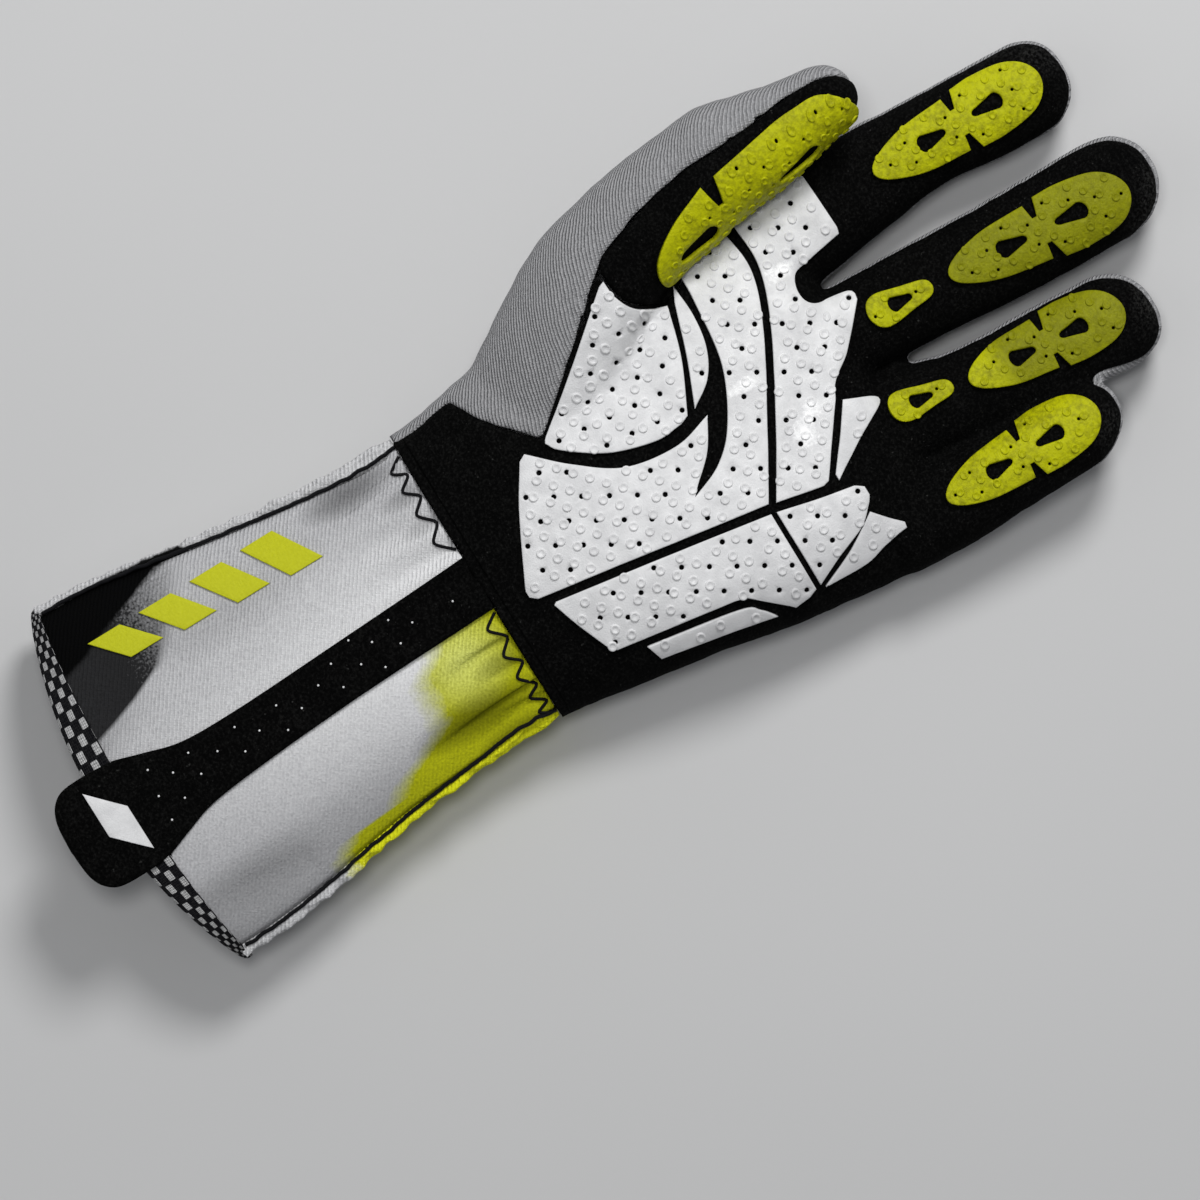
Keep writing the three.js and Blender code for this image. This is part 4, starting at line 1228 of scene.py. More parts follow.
def yellow_zone(shader, x, y, blur):
    """How much yellow dye the cuff has: its lower edge falls as X grows."""
    edge = shader.grade(
        (x - 5) / 45, (0.15, 0.225), (0.244, 0.31), (0.52, 0.325), (0.6, 0.41), (0.69, 0.53), (0.77, 0.59),
        (0.793, 0.76), (0.867, 0.825),
    )
    return ((y + 40 + edge * 80) / 8 + 0.5 + (blur - 0.5) * 0.6).clip() * (x > 3)


def dyed_finish():
    """Twill of the cuff's front, dyed in soft-edged zones placed by X and Y on the hand, with painted light and
    shade.
    """
    shader = Shader("twill_dyed", Specular_IOR_Level=0.05)
    vector, x, y, _ = shader.place()
    speck = shader.noise(vector, 1.5, 3)
    blur = shader.noise(vector, 0.35, 4, 0.7)
    wave = shader.noise(vector, 0.4, 3)
    height = twill(x, y + wave * 0.9, 0.72, 1.25) * (1 - (x / 12 - 0.5).clip() * 0.6)
    shade = (height * 0.35 + speck * 0.9 + 0.08).clip()
    colour = shader.blend(shade, (0.24, 0.24, 0.255, 1), tint("cuff_cloth"))
    # Painted light makes the cloth lightest beside the strap and under the wrist, and painted shade makes it
    # greyer towards its sides
    beside = (1 - (x - 3).math("ABSOLUTE") / 40).clip() * ((y + 190) / 130).clip()
    painted_light_colour = shader.blend(shade, (0.66, 0.66, 0.67, 1), (1, 1, 1, 1))
    colour = shader.blend((beside * 1.25 - 0.2).clip(), colour, painted_light_colour)
    colour = shader.blend(((x - 26) / 14).clip() * 0.35, colour, (0.22, 0.22, 0.225, 1))
    # Painted highlight: the yellow grows much lighter round a spot below the wrist
    highlight_reach = (1 - away_from(shader, vector, (17, -53, 33)) / 15).clip()
    highlit_yellow = shader.blend(highlight_reach * 1.3, tint("dye_yellow"), (0.93, 0.98, 0.26, 1))
    yellow = shader.blend(shade, (0.24, 0.25, 0.008, 1), highlit_yellow)
    colour = shader.blend(yellow_zone(shader, x, y, blur), colour, yellow)
    # Painted shade darkens the hollows between the folds
    for *place, dark in SHADED_HOLLOWS:
        colour = shader.blend(spot(x, y, *place) * dark, colour, (0.16, 0.16, 0.16, 1), mode="MULTIPLY")
    # Grey band with an edge that grows crisp downwards and fades out upwards, then the black zone beside it
    down = (y * -1 - 95) / 55
    reach = shader.grade(
        down, (0.09, 0.08), (0.18, 0.176), (0.31, 0.44), (0.447, 0.653), (0.629, 0.785), (0.769, 0.865),
        (0.909, 0.932),
    )
    band = x * -1 - 12 - (1 - reach) * 34
    soft = ((y + 122) / 12).clip() * 7 + 1.2
    fade = ((y * -1 - 99) / 24 + (speck - 0.5) * 1.3).clip()
    grey = (band / soft + 0.5).clip() * fade
    colour = shader.blend(grey * 0.97, colour, (0.006, 0.006, 0.0065, 1))
    third = ((band + 8) / 9).clip() * ((y * -1 - 124) / 22).clip() * (speck * 2.2 - 0.6).clip()
    colour = shader.blend(third * 0.85 * (x < 0), colour, (0.03, 0.03, 0.032, 1))
    inner = shader.grade(
        down, (0.084, 0.041), (0.265, 0.182), (0.425, 0.376), (0.607, 0.576), (0.769, 0.806), (0.88, 0.87)
    )
    black = ((x * -1 - 31 - (1 - inner) * 17) / 1.5 + 0.5 + (blur - 0.5) * 1.6).clip() * (y < -98)
    colour = shader.blend(black, colour, tint("dye_black"))
    rough = speck * 0.1 + 0.8
    return shader.paint(colour, rough, height * 0.6 + speck * 0.7, 0.0004)


def rolled_finish():
    """Twill of the cuff's back and of its rolled edges."""
    shader = Shader("twill_rolled", Specular_IOR_Level=0.12)
    vector, x, y, z = shader.place()
    speck = shader.noise(vector, 1.1, 4, 0.7)
    blur = shader.noise(vector, 0.35, 4, 0.7)
    height = twill(x, y, 0.5, 1.2)
    shade = (height * 0.3 + speck * 1.3 - 0.15).clip()
    # Painted light: the rolled twill is paler, and its yellow brighter, than the front's, for the light that the
    # rolled edges catch
    colour = shader.blend(shade, (0.2, 0.2, 0.208, 1), (0.88, 0.88, 0.89, 1))
    yellow = ((y + 108) / 6 + (blur - 0.5) * 2).clip() * (x > 30)
    colour = shader.blend(yellow, colour, shader.blend(shade, (0.5, 0.51, 0.006, 1), (0.98, 1, 0.02, 1)))
    rim = shader.grade((y * -1 - 95) / 55, (0.05, 0.2), (0.09, 0.42), (0.27, 0.58), (0.45, 0.66), (0.9, 0.75))
    black = ((x + 44 + rim * 10) / 0.8 + (blur - 0.5) * 2).clip() * (z > 17) * (y < -98) * (x < 0)
    colour = shader.blend(black, colour, tint("dye_black"))
    return shader.paint(colour, speck * 0.1 + 0.8, height * 0.4 + speck, 0.0007)


def thread_finish():
    shader = Shader("black_thread", Specular_IOR_Level=0.2)
    _, x, y, _ = shader.place()
    twist = ribs(x + y * 1.3, 0.55)
    colour = shader.blend(twist, tint("thread"), (0.006, 0.006, 0.008, 1))
    return shader.paint(colour, twist * 0.2 + 0.6, twist, 0.00015)


def check_finish():
    """Woven checks: three rows across the tape, by the tape's own UV map in millimetres."""
    shader = Shader("check_tape", Specular_IOR_Level=0.12)
    _, u, v, _ = shader.uv()
    columns, rows = u / CHECK_LENGTH, v / CHECK_HEIGHT
    parity = ((columns.math("FLOOR") + rows.math("FLOOR")) / 2).math("FRACT")
    column_side = columns.math("FRACT") - 0.5
    row_side = rows.math("FRACT") - 0.5
    inside = (0.17 - column_side * column_side).clip() * (0.17 - row_side * row_side).clip()
    light = (parity > 0.25) * (inside > 0.0006)
    body = shader.place()[0]
    speck = shader.noise(body, 1.8, 3)
    colour = shader.blend(light, (0.003, 0.003, 0.005, 1), (0.62, 0.62, 0.62, 1))
    colour = shader.blend((0.9 - speck * 1.4).clip(), colour, (0.03, 0.03, 0.03, 1))
    threads = ribs(u, 0.55) * 0.5 + ribs(v, 0.62) * 0.5
    return shader.paint(colour, speck * 0.15 + 0.75, threads + light * 0.9, 0.0004)


def floor_finish():
    shader = Shader("studio_floor")
    vector = shader.place()[0]
    cloud = shader.noise(vector, 0.004, 2)
    colour = shader.blend(cloud, tint("floor"), tuple(c * 0.92 for c in tint("floor")[:3]) + (1,))
    return shader.paint(colour, cloud * 0.1 + 0.75)


@functools.cache
def finish_of(kind):
    return {
        "cloth": cloth_finish,
        "suede": suede_finish,
        "grip": grip_finish,
        "rubber": rubber_finish,
        "print": print_finish,
        "dyed": dyed_finish,
        "rolled": rolled_finish,
        "thread": thread_finish,
        "check": check_finish,
        "floor": floor_finish,
    }[kind]()


# Pieces


def ring_field(points, pitch, origin, turn, inside):
    """Places of a staggered lattice that lie inside a test."""
    low = Vector((min(p.x for p in points), min(p.y for p in points)))
    high = Vector((max(p.x for p in points), max(p.y for p in points)))
    c, s = math.cos(turn), math.sin(turn)
    reach = (high - low).length + 20
    middle = (low + high) / 2
    places = []
    rows = int(reach / pitch[1]) + 1
    columns = int(reach / pitch[0]) + 1
    local = Vector((c * (middle.x - origin[0]) + s * (middle.y - origin[1]),
                    -s * (middle.x - origin[0]) + c * (middle.y - origin[1])))
    i0, j0 = round(local.x / pitch[0]), round(local.y / pitch[1])
    for j in range(j0 - rows, j0 + rows + 1):
        for i in range(i0 - columns, i0 + columns + 1):
            a = (i + 0.5 * (j % 2)) * pitch[0]
            b = j * pitch[1]
            p = Vector((origin[0] + c * a - s * b, origin[1] + s * a + c * b))
            if inside(p):
                places.append(p)
    return places


def inside_of(points, margin, holes=()):
    """A test for places inside an outline by a margin, and outside its holes."""
    edge = [(points[i - 1], points[i]) for i in range(len(points))]
    for hole in holes:
        edge += [(hole[i - 1], hole[i]) for i in range(len(hole))]

    def test(p):
        level = [(a, b) for a, b in edge if (a.y > p.y) != (b.y > p.y)]
        crossings = sum(1 for a, b in level if p.x < a.x + (p.y - a.y) / (b.y - a.y) * (b.x - a.x))
        if crossings % 2 == 0:
            return False
        for a, b in edge:
            span = b - a
            t = max(0.0, min(1.0, (p - a).dot(span) / max(span.length_squared, 1e-9)))
            if (a + span * t - p).length < margin:
                return False
        return True

    return test


def round_points(centre, radius, count=10):
    angles = [2 * math.pi * i / count for i in range(count)]
    return [centre + Vector((math.cos(a) * radius, math.sin(a) * radius)) for a in angles]


def slab(points, thickness, slots=(), holes=(), hole_radius=0.6, pitch=2.2, rounding=0.28):
    """A flat piece with rounded edges, slots and punched holes, cut so that it can bend."""
    inner = widened(points, -rounding)
    half = widened(points, -rounding * 0.3)
    shoulder, top = thickness - rounding, thickness + 0.02
    bm = stack([(0, points), (shoulder, points), (thickness - rounding * 0.3, half), (thickness, inner)])
    cutters = []
    for slot in slots:
        flared = widened(slot, rounding * 0.8)
        cutters.append(stack([(-1, slot), (shoulder, slot), (top, flared), (thickness + 1, flared)]))
    for hole in holes:
        low, high = round_points(hole, hole_radius), round_points(hole, hole_radius + 0.14)
        cutters.append(stack([(-1, low), (thickness - 0.15, low), (top, high), (thickness + 1, high)]))
    if cutters:
        bm = boolean(bm, joined(*cutters))
    bmesh.ops.dissolve_limit(
        bm, angle_limit=math.radians(0.5), verts=bm.verts, edges=bm.edges, use_dissolve_boundaries=False
    )
    return gridded(bm, pitch)


RING_PROFILE = ((1.0, -0.15), (0.93, 0.75), (0.74, 1.0), (0.5, 0.35), (0.0, 0.2))


def ring_shapes(places, radius, height, base, profile=RING_PROFILE, sides=14):
    """Raised rings with a dished middle, or other small round shapes of a profile."""
    shapes = bmesh.new()
    last = len(profile) - 1
    for p in places:

        def place(u, v, p=p):
            share, rise = profile[round(v * last)]
            angle = 2 * math.pi * u
            return Vector((p.x + math.cos(angle) * radius * share, p.y + math.sin(angle) * radius * share,
                           base + height * rise))

        bent_grid(shapes, sides, last, place)
    bmesh.ops.recalc_face_normals(shapes, faces=shapes.faces)
    for face in shapes.faces:
        if face.normal.z < 0:
            face.normal_flip()
    return shapes


def sheet_between(name, kind, node, cuts):
    """A sheet of the hand that is left after its cuts."""
    bm = copied(form_mesh(True))
    skin = copied(form_mesh(True))
    for operation, which in cuts:
        bm = boolean(bm, copied(cutter_mesh(which)), operation)
    bm = skin_of(bm, skin)
    bmesh.ops.remove_doubles(bm, verts=bm.verts, dist=0.3)
    bmesh.ops.dissolve_degenerate(bm, dist=0.05, edges=bm.edges)
    biggest(bm)
    tree = BVHTree.FromBMesh(skin)
    for rounds in (2, 9):
        smooth_rim(bm, rounds)
        drop_slivers(bm, tree)
        biggest(bm)
    pull_in(bm, tree, sizes("seam_depth"))
    skin.free()
    return finish_piece(bm, name, finish_of(kind), (node,), solid=sizes("wall"))


def beyond(y, low=-90.0, high=90.0):
    """Everything from y towards the fingertips."""
    return prism([Vector(p) for p in ((-200, y), (200, y), (200, 400), (-200, 400))], low, high)


@functools.cache
def cutter_mesh(which):
    """Cutting shapes: the palm's leather, the thumb's leather, and everything above the wrist seam."""
    rows, tip = thumb_rows()
    if which == "thumb":
        def clearance(y):
            return 3.0 if y < THUMB_WEB else 1.0

        bm = tube(rows, tip, grow=clearance, columns=48, step=2.0)
        bm = boolean(bm, facing(rows, tip, 30), "INTERSECT")
        bm = boolean(bm, prism(outline(THUMB_OUTLINE, 1.5)), "INTERSECT")
        return to_mesh(bm, which)
    if which == "hand":
        return to_mesh(beyond(WRIST), which)
    bm = prism(outline(PALM_OUTLINE, 1.5))
    for name in FINGERS:
        table, end = finger_rows(name)
        finger = boolean(tube(table, end, grow=2.0), beyond(ROOTS - 15, 0, 90), "INTERSECT")
        bm = boolean(bm, finger, "UNION")
    return to_mesh(boolean(bm, above_seam(), "INTERSECT"), which)


class GLOVE_OT_hand(bpy.types.Operator):
    """Sews the cloth back, the leather palm and the leather face of the thumb"""

    bl_idname = "glove.hand"
    bl_label = "Hand"

    def execute(self, context):
        palm, off_palm = ("INTERSECT", "palm"), ("DIFFERENCE", "palm")
        thumb, off_thumb = ("INTERSECT", "thumb"), ("DIFFERENCE", "thumb")
        for name, kind, slot, node, cuts in (
            ("palm_suede", "suede", "leather", "palm_leather", (palm, off_thumb)),
            ("thumb_suede", "suede", "leather", "thumb_leather", (thumb,)),
            ("hand_twill", "cloth", "cloth", "back_cloth", (off_palm, off_thumb)),
        ):
            sheet_between(name, kind, node, (("INTERSECT", "hand"), *cuts))
        return {"FINISHED"}


class GLOVE_OT_grips(bpy.types.Operator):
    """Cuts the nine grip panels, with punched holes and raised rings, and lays them on the palm"""

    bl_idname = "glove.grips"
    bl_label = "Grip panels"

    def execute(self, context):
        for name, stretches in GRIPS.items():
            points = outline(stretches, 0.9)
            turn = math.radians(-37) if name == "thenar" else 0.0
            holes = ring_field(points, (7.25, 6.15), (-6.7, -9.8), turn, inside_of(points, 1.2))
            bm = slab(points, sizes("grip"), holes=holes, hole_radius=sizes("hole") / 2)
            rings = ring_field(points, (6.6, 2.96), (0.6, -11.2), turn, inside_of(points, 0.8))
            rings = [r for r in rings if all((r - h).length > 1.15 for h in holes)]
            bm = joined(bm, ring_shapes(rings, sizes("ring") / 2, sizes("ring_height"), sizes("grip")))
            palm_ground().lay(bm, GAP)
            finish_piece(bm, f"grip_panel_{name}", finish_of("grip"), (f"grip_{name}",))
        return {"FINISHED"}


def mirrored(side, place, step=0.8):
    """The whole outline of a pad from its right half."""
    right = sorted_half(side)
    left = [Vector((-p.x, p.y)) for p in reversed(right[1:-1])]
    whole = [Vector(place(p.x, p.y)) for p in right + left]
    return evenly(whole, step, closed=True)


def sorted_half(side):
    """Points of the half outline from bottom to top."""
    out = []
    for stretch in side:
        knots = [Vector(p) for p in stretch]
        if len(knots) == 2:
            out += knots
            continue
        ends = [Vector((-knots[1].x, knots[1].y)) if knots[0].x == 0 else 2 * knots[0] - knots[1], *knots]
        ends.append(Vector((-knots[-2].x, knots[-2].y)) if knots[-1].x == 0 else 2 * knots[-1] - knots[-2])
        out += through(ends, 10)
    return [p for i, p in enumerate(out) if i == 0 or (p - out[i - 1]).length > 1e-4]


def teardrop(low, high, low_half, high_half, middle, place):
    """The outline of a rounded teardrop slot."""
    points = []
    long = high - low
    for i in range(9):
        angle = math.pi + math.pi * i / 8
        points.append((middle + math.cos(angle) * low_half, low + 0.22 * long + math.sin(angle) * 0.22 * long))
    for i in range(9):
        angle = math.pi * i / 8
        points.append((middle + math.cos(angle) * high_half, high - 0.2 * long + math.sin(angle) * 0.2 * long))
    return [Vector(place(*p)) for p in points]


class GLOVE_OT_pads(bpy.types.Operator):
    """Moulds the rubber pads of the fingers and the thumb, with their rings, holes and slots"""

    bl_idname = "glove.pads"
    bl_label = "Rubber pads"

    def execute(self, context):
        for name, finger, low, high, start, end, half, base in PADS:
            root, long, width = FINGERS[finger][:3]

            def place(a, b):
                x = root * PALM + width * (start + (end - start) * b + a * half)
                return (x, ROOTS + long * (low + (high - low) * b))

            side, slots = (BASE_SIDE, BASE_SLOTS) if base else (PAD_SIDE, PAD_SLOTS)
            self.pad(name, place, side, slots, palm_ground())
        low = HEEL + THUMB_PAD["low"] * THUMB_LENGTH
        long = (THUMB_PAD["high"] - THUMB_PAD["low"]) * THUMB_LENGTH

        def on_thumb(a, b):
            middle = THUMB_PAD["from"] + (THUMB_PAD["to"] - THUMB_PAD["from"]) * (1 - (1 - b) ** 2)
            return (middle + a * THUMB_PAD["half"], low + b * long)

        self.pad("pad_thumb", on_thumb, THUMB_PAD_SIDE, THUMB_SLOTS, thumb_ground())
        return {"FINISHED"}

    def pad(self, name, place, side, slots, ground):
        points = mirrored(side, place)
        cut = [teardrop(*s, place) for s in slots]
        centre = Vector(place(0, 0.5))
        origin = (centre.x + 2.8, centre.y - 1.5)
        holes = ring_field(points, (5.6, 6.2), origin, 0, inside_of(points, 1.3, cut))
        bm = slab(points, sizes("pad"), slots=cut, holes=holes, hole_radius=0.42, pitch=1.7)
        rings = ring_field(points, (5.6, 3.1), (centre.x, centre.y), 0, inside_of(points, 0.7, cut))
        rings = [r for r in rings if all((r - h).length > 1.0 for h in holes)]
        bm = joined(bm, ring_shapes(rings, sizes("ring") / 2 * 0.85, sizes("ring_height") * 0.85, sizes("pad")))
        ground.lay(bm, GAP)
        finish_piece(bm, f"rubber_{name}", finish_of("rubber"), (name,))


def cuff_sheet(left, right, columns, name, node, kind):
    """A part of the cuff between two lines given as angles round it at each height."""
    bm = bmesh.new()
    rows = 110

    def place(u, v):
        y = WRIST - GAP
        for _ in range(6):
            a = left(y) + (right(y) - left(y)) * u
            p = cuff_point(a, y)
            bottom = hem_y(p.x, 1.5)
            y = WRIST - GAP + (bottom - WRIST + GAP) * v
        return cuff_point(left(y) + (right(y) - left(y)) * u, y)

    bent_grid(bm, columns, rows, place, wrap=False)
    bmesh.ops.recalc_face_normals(bm, faces=bm.faces)
    bm.normal_update()
    outwards = 0.0
    for face in bm.faces:
        centre = face.calc_center_median()
        outwards += face.normal.dot(centre - Vector((0, centre.y, CUFF_DEPTH / 2))) * face.calc_area()
    if outwards < 0:
        bmesh.ops.reverse_faces(bm, faces=bm.faces)
    return finish_piece(bm, name, finish_of(kind), (node,), solid=sizes("wall"))


@functools.cache
def seam_angle_at(line, step):
    """The share round the cuff, in its upper half, at which a side seam lies a number of millimetres down."""
    y = WRIST + 2 - step
    goal = line_x(line, y)
    low, high = 0.0, 0.5
    for _ in range(20):
        half = (low + high) / 2
        if cuff_point(half, y, ripples=False).x > goal:
            low = half
        else:
            high = half
    return (low + high) / 2


def seam_angle(line, y):
    down = WRIST + 2 - y
    step = int(down)
    part = down - step
    return seam_angle_at(line, step) * (1 - part) + seam_angle_at(line, step + 1) * part


class GLOVE_OT_cuff(bpy.types.Operator):
    """Sews the front and the back of the gathered cuff"""

    bl_idname = "glove.cuff"
    bl_label = "Cuff"

    def execute(self, context):
        for start, end, turn, columns, name, kind in (
            (SEAM_LITTLE, SEAM_THUMB, 0, 120, "cuff_front", "dyed"),
            (SEAM_THUMB, SEAM_LITTLE, 1, 170, "cuff_back", "rolled"),
        ):
            cuff_sheet(
                lambda y: seam_angle(start, y), lambda y: turn + seam_angle(end, y), columns, f"{name}_twill",
                name, kind,
            )
        return {"FINISHED"}


def thread(points, radius, sides=6):
    """A round thread along points in space."""
    bm = bmesh.new()
    last = len(points) - 1

    def place(u, v):
        i = round(v * last)
        p = points[i]
        way = (points[min(i + 1, last)] - points[max(i - 1, 0)]).normalized()
        side = way.cross(Vector((0, 0, 1)))
        side = side.normalized() if side.length > 1e-4 else Vector((1, 0, 0))
        up = side.cross(way)
        angle = 2 * math.pi * u
        return p + side * math.cos(angle) * radius + up * math.sin(angle) * radius

    bent_grid(bm, sides, last, place)
    close_ends(bm)
    return bm


def laid_line(points, ground, lift):
    """Flat points laid on a surface."""
    out = []
    for p in points:
        place, normal = ground.point(p.x, p.y)
        out.append(place + normal * lift)
    return out


class GLOVE_OT_seams(bpy.types.Operator):
    """Sews the side seams of the cuff and the zigzag stitch under the wrist"""

    bl_idname = "glove.seams"
    bl_label = "Seams and stitches"

    def execute(self, context):
        ground = cuff_ground()
        for name, line in (("thumb", SEAM_THUMB), ("little", SEAM_LITTLE)):
            flat = []
            y = WRIST - GAP
            while True:
                x = line_x(line, y)
                if y < hem_y(x, BINDING_WIDTH + GAP, HEM_TOP_ARC):
                    break
                wobble = noise.noise(Vector((y / 3, 7 if name == "thumb" else 19, 0))) * 0.45
                flat.append(Vector((x + wobble, y)))
                y -= 0.8
            bm = thread(laid_line(flat, ground, 0.7), 0.52, 8)
            finish_piece(bm, f"side_piping_{name}", finish_of("thread"), (f"side_seam_{name}",))
        for k, corners in enumerate(ZIGZAG):
            knots = [Vector((x, -38.5 if i % 2 == 0 else -43.0)) for i, x in enumerate(corners)]
            flat = []
            for a, b in zip(knots, knots[1:]):
                flat += [a.lerp(b, i / 6) for i in range(6)]
            flat.append(knots[-1])
            for _ in range(2):
                between_ends = [(a + b * 2 + c) / 4 for a, b, c in zip(flat, flat[1:], flat[2:])]
                flat = [flat[0], *between_ends, flat[-1]]
            bm = thread(laid_line(flat, ground, 0.2), sizes("thread") / 2, 6)
            finish_piece(bm, f"zigzag_stitch_{k + 1}", finish_of("thread"))
        return {"FINISHED"}


class GLOVE_OT_strap(bpy.types.Operator):
    """Lays the suede strap down the cuff, with its pull tab and patch"""

    bl_idname = "glove.strap"
    bl_label = "Strap and pull tab"

    def execute(self, context):
        ground = cuff_ground()
        points = outline(STRAP_SIDES, 0.9, on_cuff)
        points = [Vector((p.x, max(p.y, hem_y(p.x, BINDING_WIDTH + GAP, HEM_TOP_ARC)))) for p in points]
        points = evenly(points, 0.9, closed=True)
        bm = slab(points, sizes("strap"))
        ground.lay(bm, GAP)
        finish_piece(bm, "cuff_strap_suede", finish_of("suede"), ("strap",))
        dots = [Vector(p) for p in STRAP_DOTS]
        bm = ring_shapes(dots, 0.32, 0.08, sizes("strap"), ((1, -0.5), (0.8, 0.6), (0, 1)), 10)
        ground.lay(bm, GAP)
        finish_piece(bm, "cuff_strap_specks", finish_of("grip"))
        points = outline(TAB_OUTLINE, 0.9, on_tab)
        bm = slab(points, TAB_THICKNESS, rounding=0.9)
        self.tab_lay(bm, TAB_LIFT)
        finish_piece(bm, "pull_tab_suede", finish_of("suede"), ("pull_tab",))
        bm = slab(outline(PATCH_OUTLINE, 0.9, on_tab), 0.5, rounding=0.15)
        self.tab_lay(bm, TAB_LIFT + TAB_THICKNESS)
        finish_piece(bm, "tab_patch_plain", finish_of("grip"), ("tab_patch",))
        return {"FINISHED"}

    def tab_lay(self, bm, lift):
        ground = cuff_ground()
        for v in bm.verts:
            place, _ = ground.point(v.co.x, max(v.co.y, HEM + 2))
            out = min(1.0, max(0.0, (TAB_TOP - v.co.y) / 9))
            out = out * out * (3 - 2 * out)
            droop = 0.004 * max(0, HEM + 2 - v.co.y) ** 2
            rise = (v.co.z + lift) * (0.3 + 0.7 * out) - droop
            v.co = Vector((v.co.x, v.co.y, place.z + rise))


class GLOVE_OT_tape(bpy.types.Operator):
    """Folds the checked tape round the hem"""

    bl_idname = "glove.tape"
    bl_label = "Hem tape"

    def execute(self, context):
        bm = bmesh.new()
        outer, inner = GAP + BINDING_THICKNESS, -sizes("wall") - GAP - BINDING_THICKNESS
        profile = []
        for i in range(13):
            profile.append((1 - i / 12, outer))
        for i in range(1, 6):
            angle = math.pi * i / 6
            profile.append((0, (outer + inner) / 2 + (outer - inner) / 2 * math.cos(angle)))
        for i in range(9):
            profile.append((i / 8, inner))
        for i in range(1, 3):
            profile.append((1, inner + (outer - inner) * i / 3))
        count = len(profile)
        turn_start = 13

        def place(u, v):
            share, offset = profile[round(v * count) % count]
            y = -150.0
            for _ in range(5):
                p = cuff_point(u, y, ripples=False)
                low = hem_y(p.x)
                high = hem_y(p.x, BINDING_WIDTH, HEM_TOP_ARC)
                y = low + 1.2 + (high - low - 1.2) * share
            index = round(v * count) % count
            extra = 0.0
            if turn_start <= index < turn_start + 5:
                extra = -1.2 * math.sin(math.pi * (index - turn_start + 1) / 6)
            pucker = noise.noise(Vector((u * 60, share * 2, 4))) * 0.25
            p = cuff_point(u, y, grow=offset + pucker if offset > 0 else offset, ripples=False)
            p.y += extra
            p.z = max(p.z, 0.05)
            return p

        bent_grid(bm, 300, count, place)
        bmesh.ops.recalc_face_normals(bm, faces=bm.faces)
        uv = bm.loops.layers.uv["UVMap"]
        around = 2 * (HEM_WIDTH + CUFF_DEPTH) * 0.92
        checks = round(around / (2 * CHECK_LENGTH)) * 2 * CHECK_LENGTH
        for face in bm.faces:
            us = [loop[uv].uv.x for loop in face.loops]
            wrap = max(us) - min(us) > 0.5
            for loop in face.loops:
                u, v = loop[uv].uv
                if wrap and u < 0.5:
                    u += 1
                index = min(v * count, count)
                loop[uv].uv = (u * checks, index / 12 * 3 * CHECK_HEIGHT)
        bmesh.ops.remove_doubles(bm, verts=bm.verts, dist=1e-4)
        bmesh.ops.recalc_face_normals(bm, faces=bm.faces)
        finish_piece(bm, "hem_tape_checked", finish_of("check"), ("hem_tape",))
        return {"FINISHED"}


class GLOVE_OT_bars(bpy.types.Operator):
    """Presses the four slanted bars on the cuff"""

    bl_idname = "glove.bars"
    bl_label = "Accent bars"

    def execute(self, context):
        for i in range(4):
            top = 0.27 + i * 0.135
            width = 0.12 * (1 - i * 0.1)
            left, right = -0.36, -0.36 + width
            corners = ((left, top + 0.07), (right, top), (right, top + 0.085), (left, top + 0.155))
            points = evenly([Vector(on_cuff(*c)) for c in corners], 0.9, closed=True)
            bm = slab(points, 0.5, rounding=0.18)
            cuff_ground().lay(bm, GAP - 0.1)
            finish_piece(bm, f"cuff_bar_{i + 1}", finish_of("print"), (f"accent_bar_{i + 1}",))
        return {"FINISHED"}


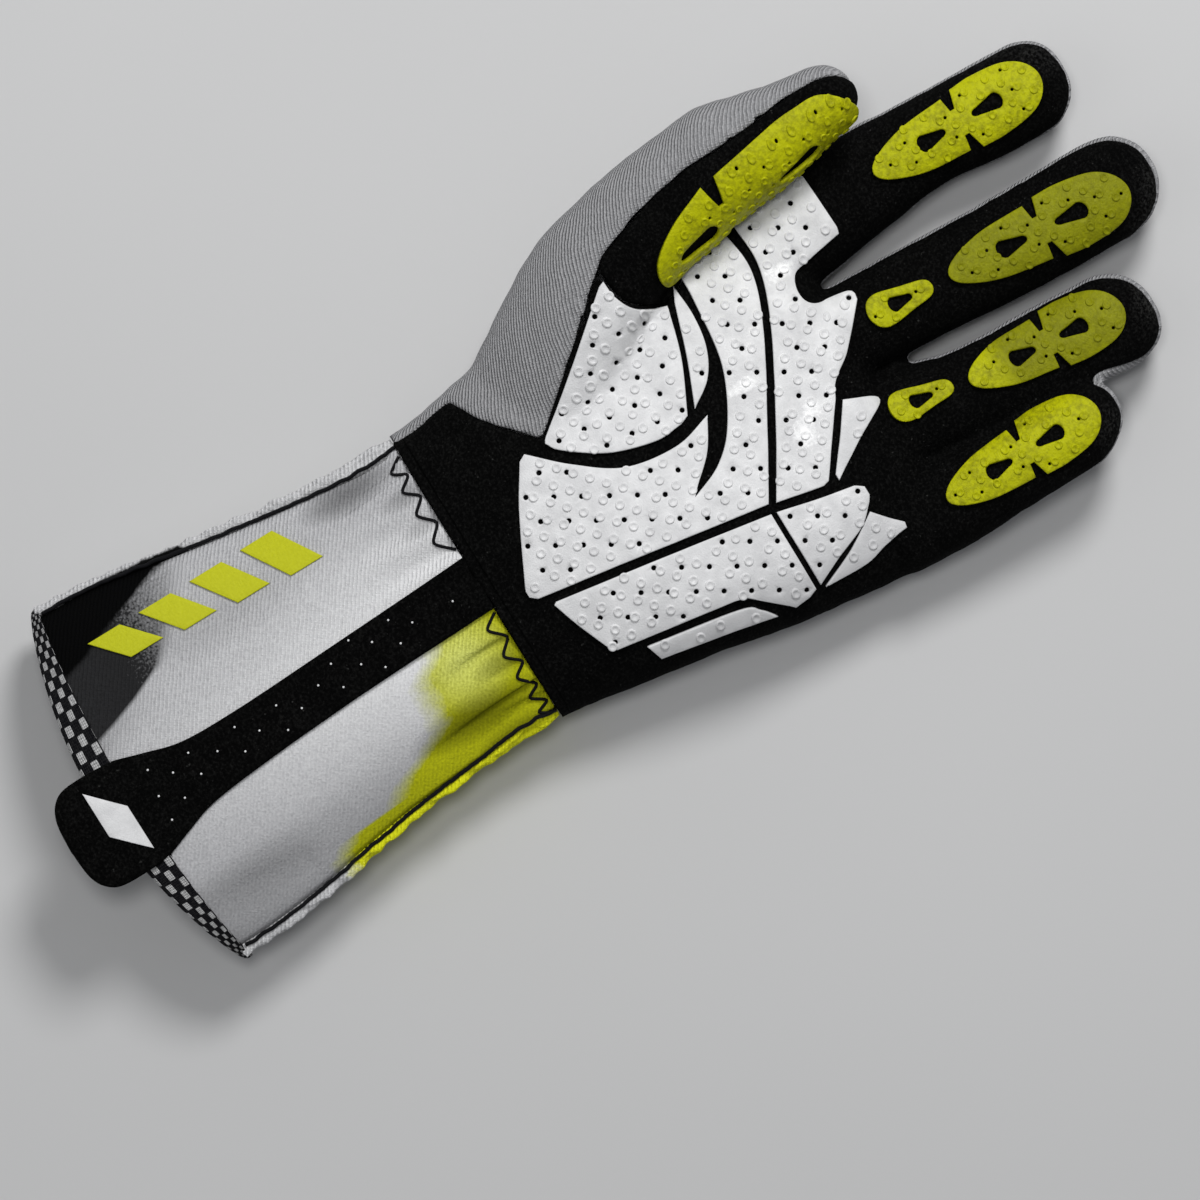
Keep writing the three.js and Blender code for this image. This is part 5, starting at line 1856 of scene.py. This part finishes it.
class GLOVE_OT_stage(bpy.types.Operator):
    """Sets up the floor, the soft lights and the camera"""

    bl_idname = "glove.stage"
    bl_label = "Stage"

    def execute(self, context):
        bm = bmesh.new()
        bmesh.ops.create_grid(bm, x_segments=1, y_segments=1, size=6)
        floor = bpy.data.objects.new("floor", to_mesh(bm, "floor"))
        floor.data.materials.append(finish_of("floor"))
        context.collection.objects.link(floor)

        world = bpy.data.worlds.new("studio")
        world.use_nodes = True
        world.node_tree.nodes["Background"].inputs["Color"].default_value = (0.8, 0.82, 0.85, 1)
        world.node_tree.nodes["Background"].inputs["Strength"].default_value = 0.22
        context.scene.world = world
        context.scene.view_settings.view_transform = "Standard"

        # The photograph's right and up, seen from above
        turn = math.radians(PHOTO_TURN)
        right = Vector((math.sin(turn), math.cos(turn), 0))
        up = Vector((-math.cos(turn), math.sin(turn), 0))
        for name, offset, height, size, power in (
            ("key", right * 0.25 + up * 0.8, 1.0, 0.4, 10.5),
            ("top", right * -0.1 + up * 0.1, 1.5, 0.3, 5),
            ("fill", right * -0.9 + up * -0.2, 1.0, 1.2, 1.5),
        ):
            light = bpy.data.lights.new(name, "AREA")
            light.shape = "DISK"
            light.size = size
            light.energy = power
            lamp = bpy.data.objects.new(name, light)
            lamp.location = offset + Vector((0, 0, height))
            lamp.rotation_mode = "QUATERNION"
            lamp.rotation_quaternion = (-lamp.location).to_track_quat("-Z", "Y")
            context.collection.objects.link(lamp)

        camera = bpy.data.cameras.new("camera")
        camera.sensor_width = 36
        distance = 1.7
        camera.lens = camera.sensor_width * distance / PHOTO_WIDTH
        camera.clip_start, camera.clip_end = 0.05, 20
        eye = bpy.data.objects.new("camera", camera)
        centre = Vector((22.12 + MIDDLE.x, -13.66 + MIDDLE.y, 22)) * MM
        eye.location = centre + Vector((0, 0, distance))
        eye.rotation_mode = "QUATERNION"
        eye.rotation_quaternion = Matrix((right, up, (0, 0, 1))).transposed().to_quaternion()
        context.collection.objects.link(eye)
        context.scene.camera = eye
        return {"FINISHED"}


class GLOVE_PT_panel(bpy.types.Panel):
    """Lists the glove's pieces, sizes and colours"""

    bl_label = "Karting glove"
    bl_space_type = "VIEW_3D"
    bl_region_type = "UI"
    bl_category = "Glove"

    def draw(self, context):
        for name in STEPS:
            self.layout.operator(f"glove.{name}")
        for group in (context.scene.glove_sizes, context.scene.glove_colours):
            for name in group.__annotations__:
                self.layout.prop(group, name)


STEPS = ("hand", "grips", "pads", "cuff", "seams", "strap", "tape", "bars", "stage")
CLASSES = (
    GloveSizes, GloveColours, GLOVE_OT_hand, GLOVE_OT_grips, GLOVE_OT_pads, GLOVE_OT_cuff, GLOVE_OT_seams,
    GLOVE_OT_strap, GLOVE_OT_tape, GLOVE_OT_bars, GLOVE_OT_stage, GLOVE_PT_panel,
)


def register():
    for cls in CLASSES:
        bpy.utils.register_class(cls)
    bpy.types.Scene.glove_sizes = bpy.props.PointerProperty(type=GloveSizes)
    bpy.types.Scene.glove_colours = bpy.props.PointerProperty(type=GloveColours)


def unregister():
    del bpy.types.Scene.glove_colours
    del bpy.types.Scene.glove_sizes
    for cls in reversed(CLASSES):
        bpy.utils.unregister_class(cls)


def main():
    register()
    for name in STEPS:
        getattr(bpy.ops.glove, name)()


if __name__ == "__main__":
    main()
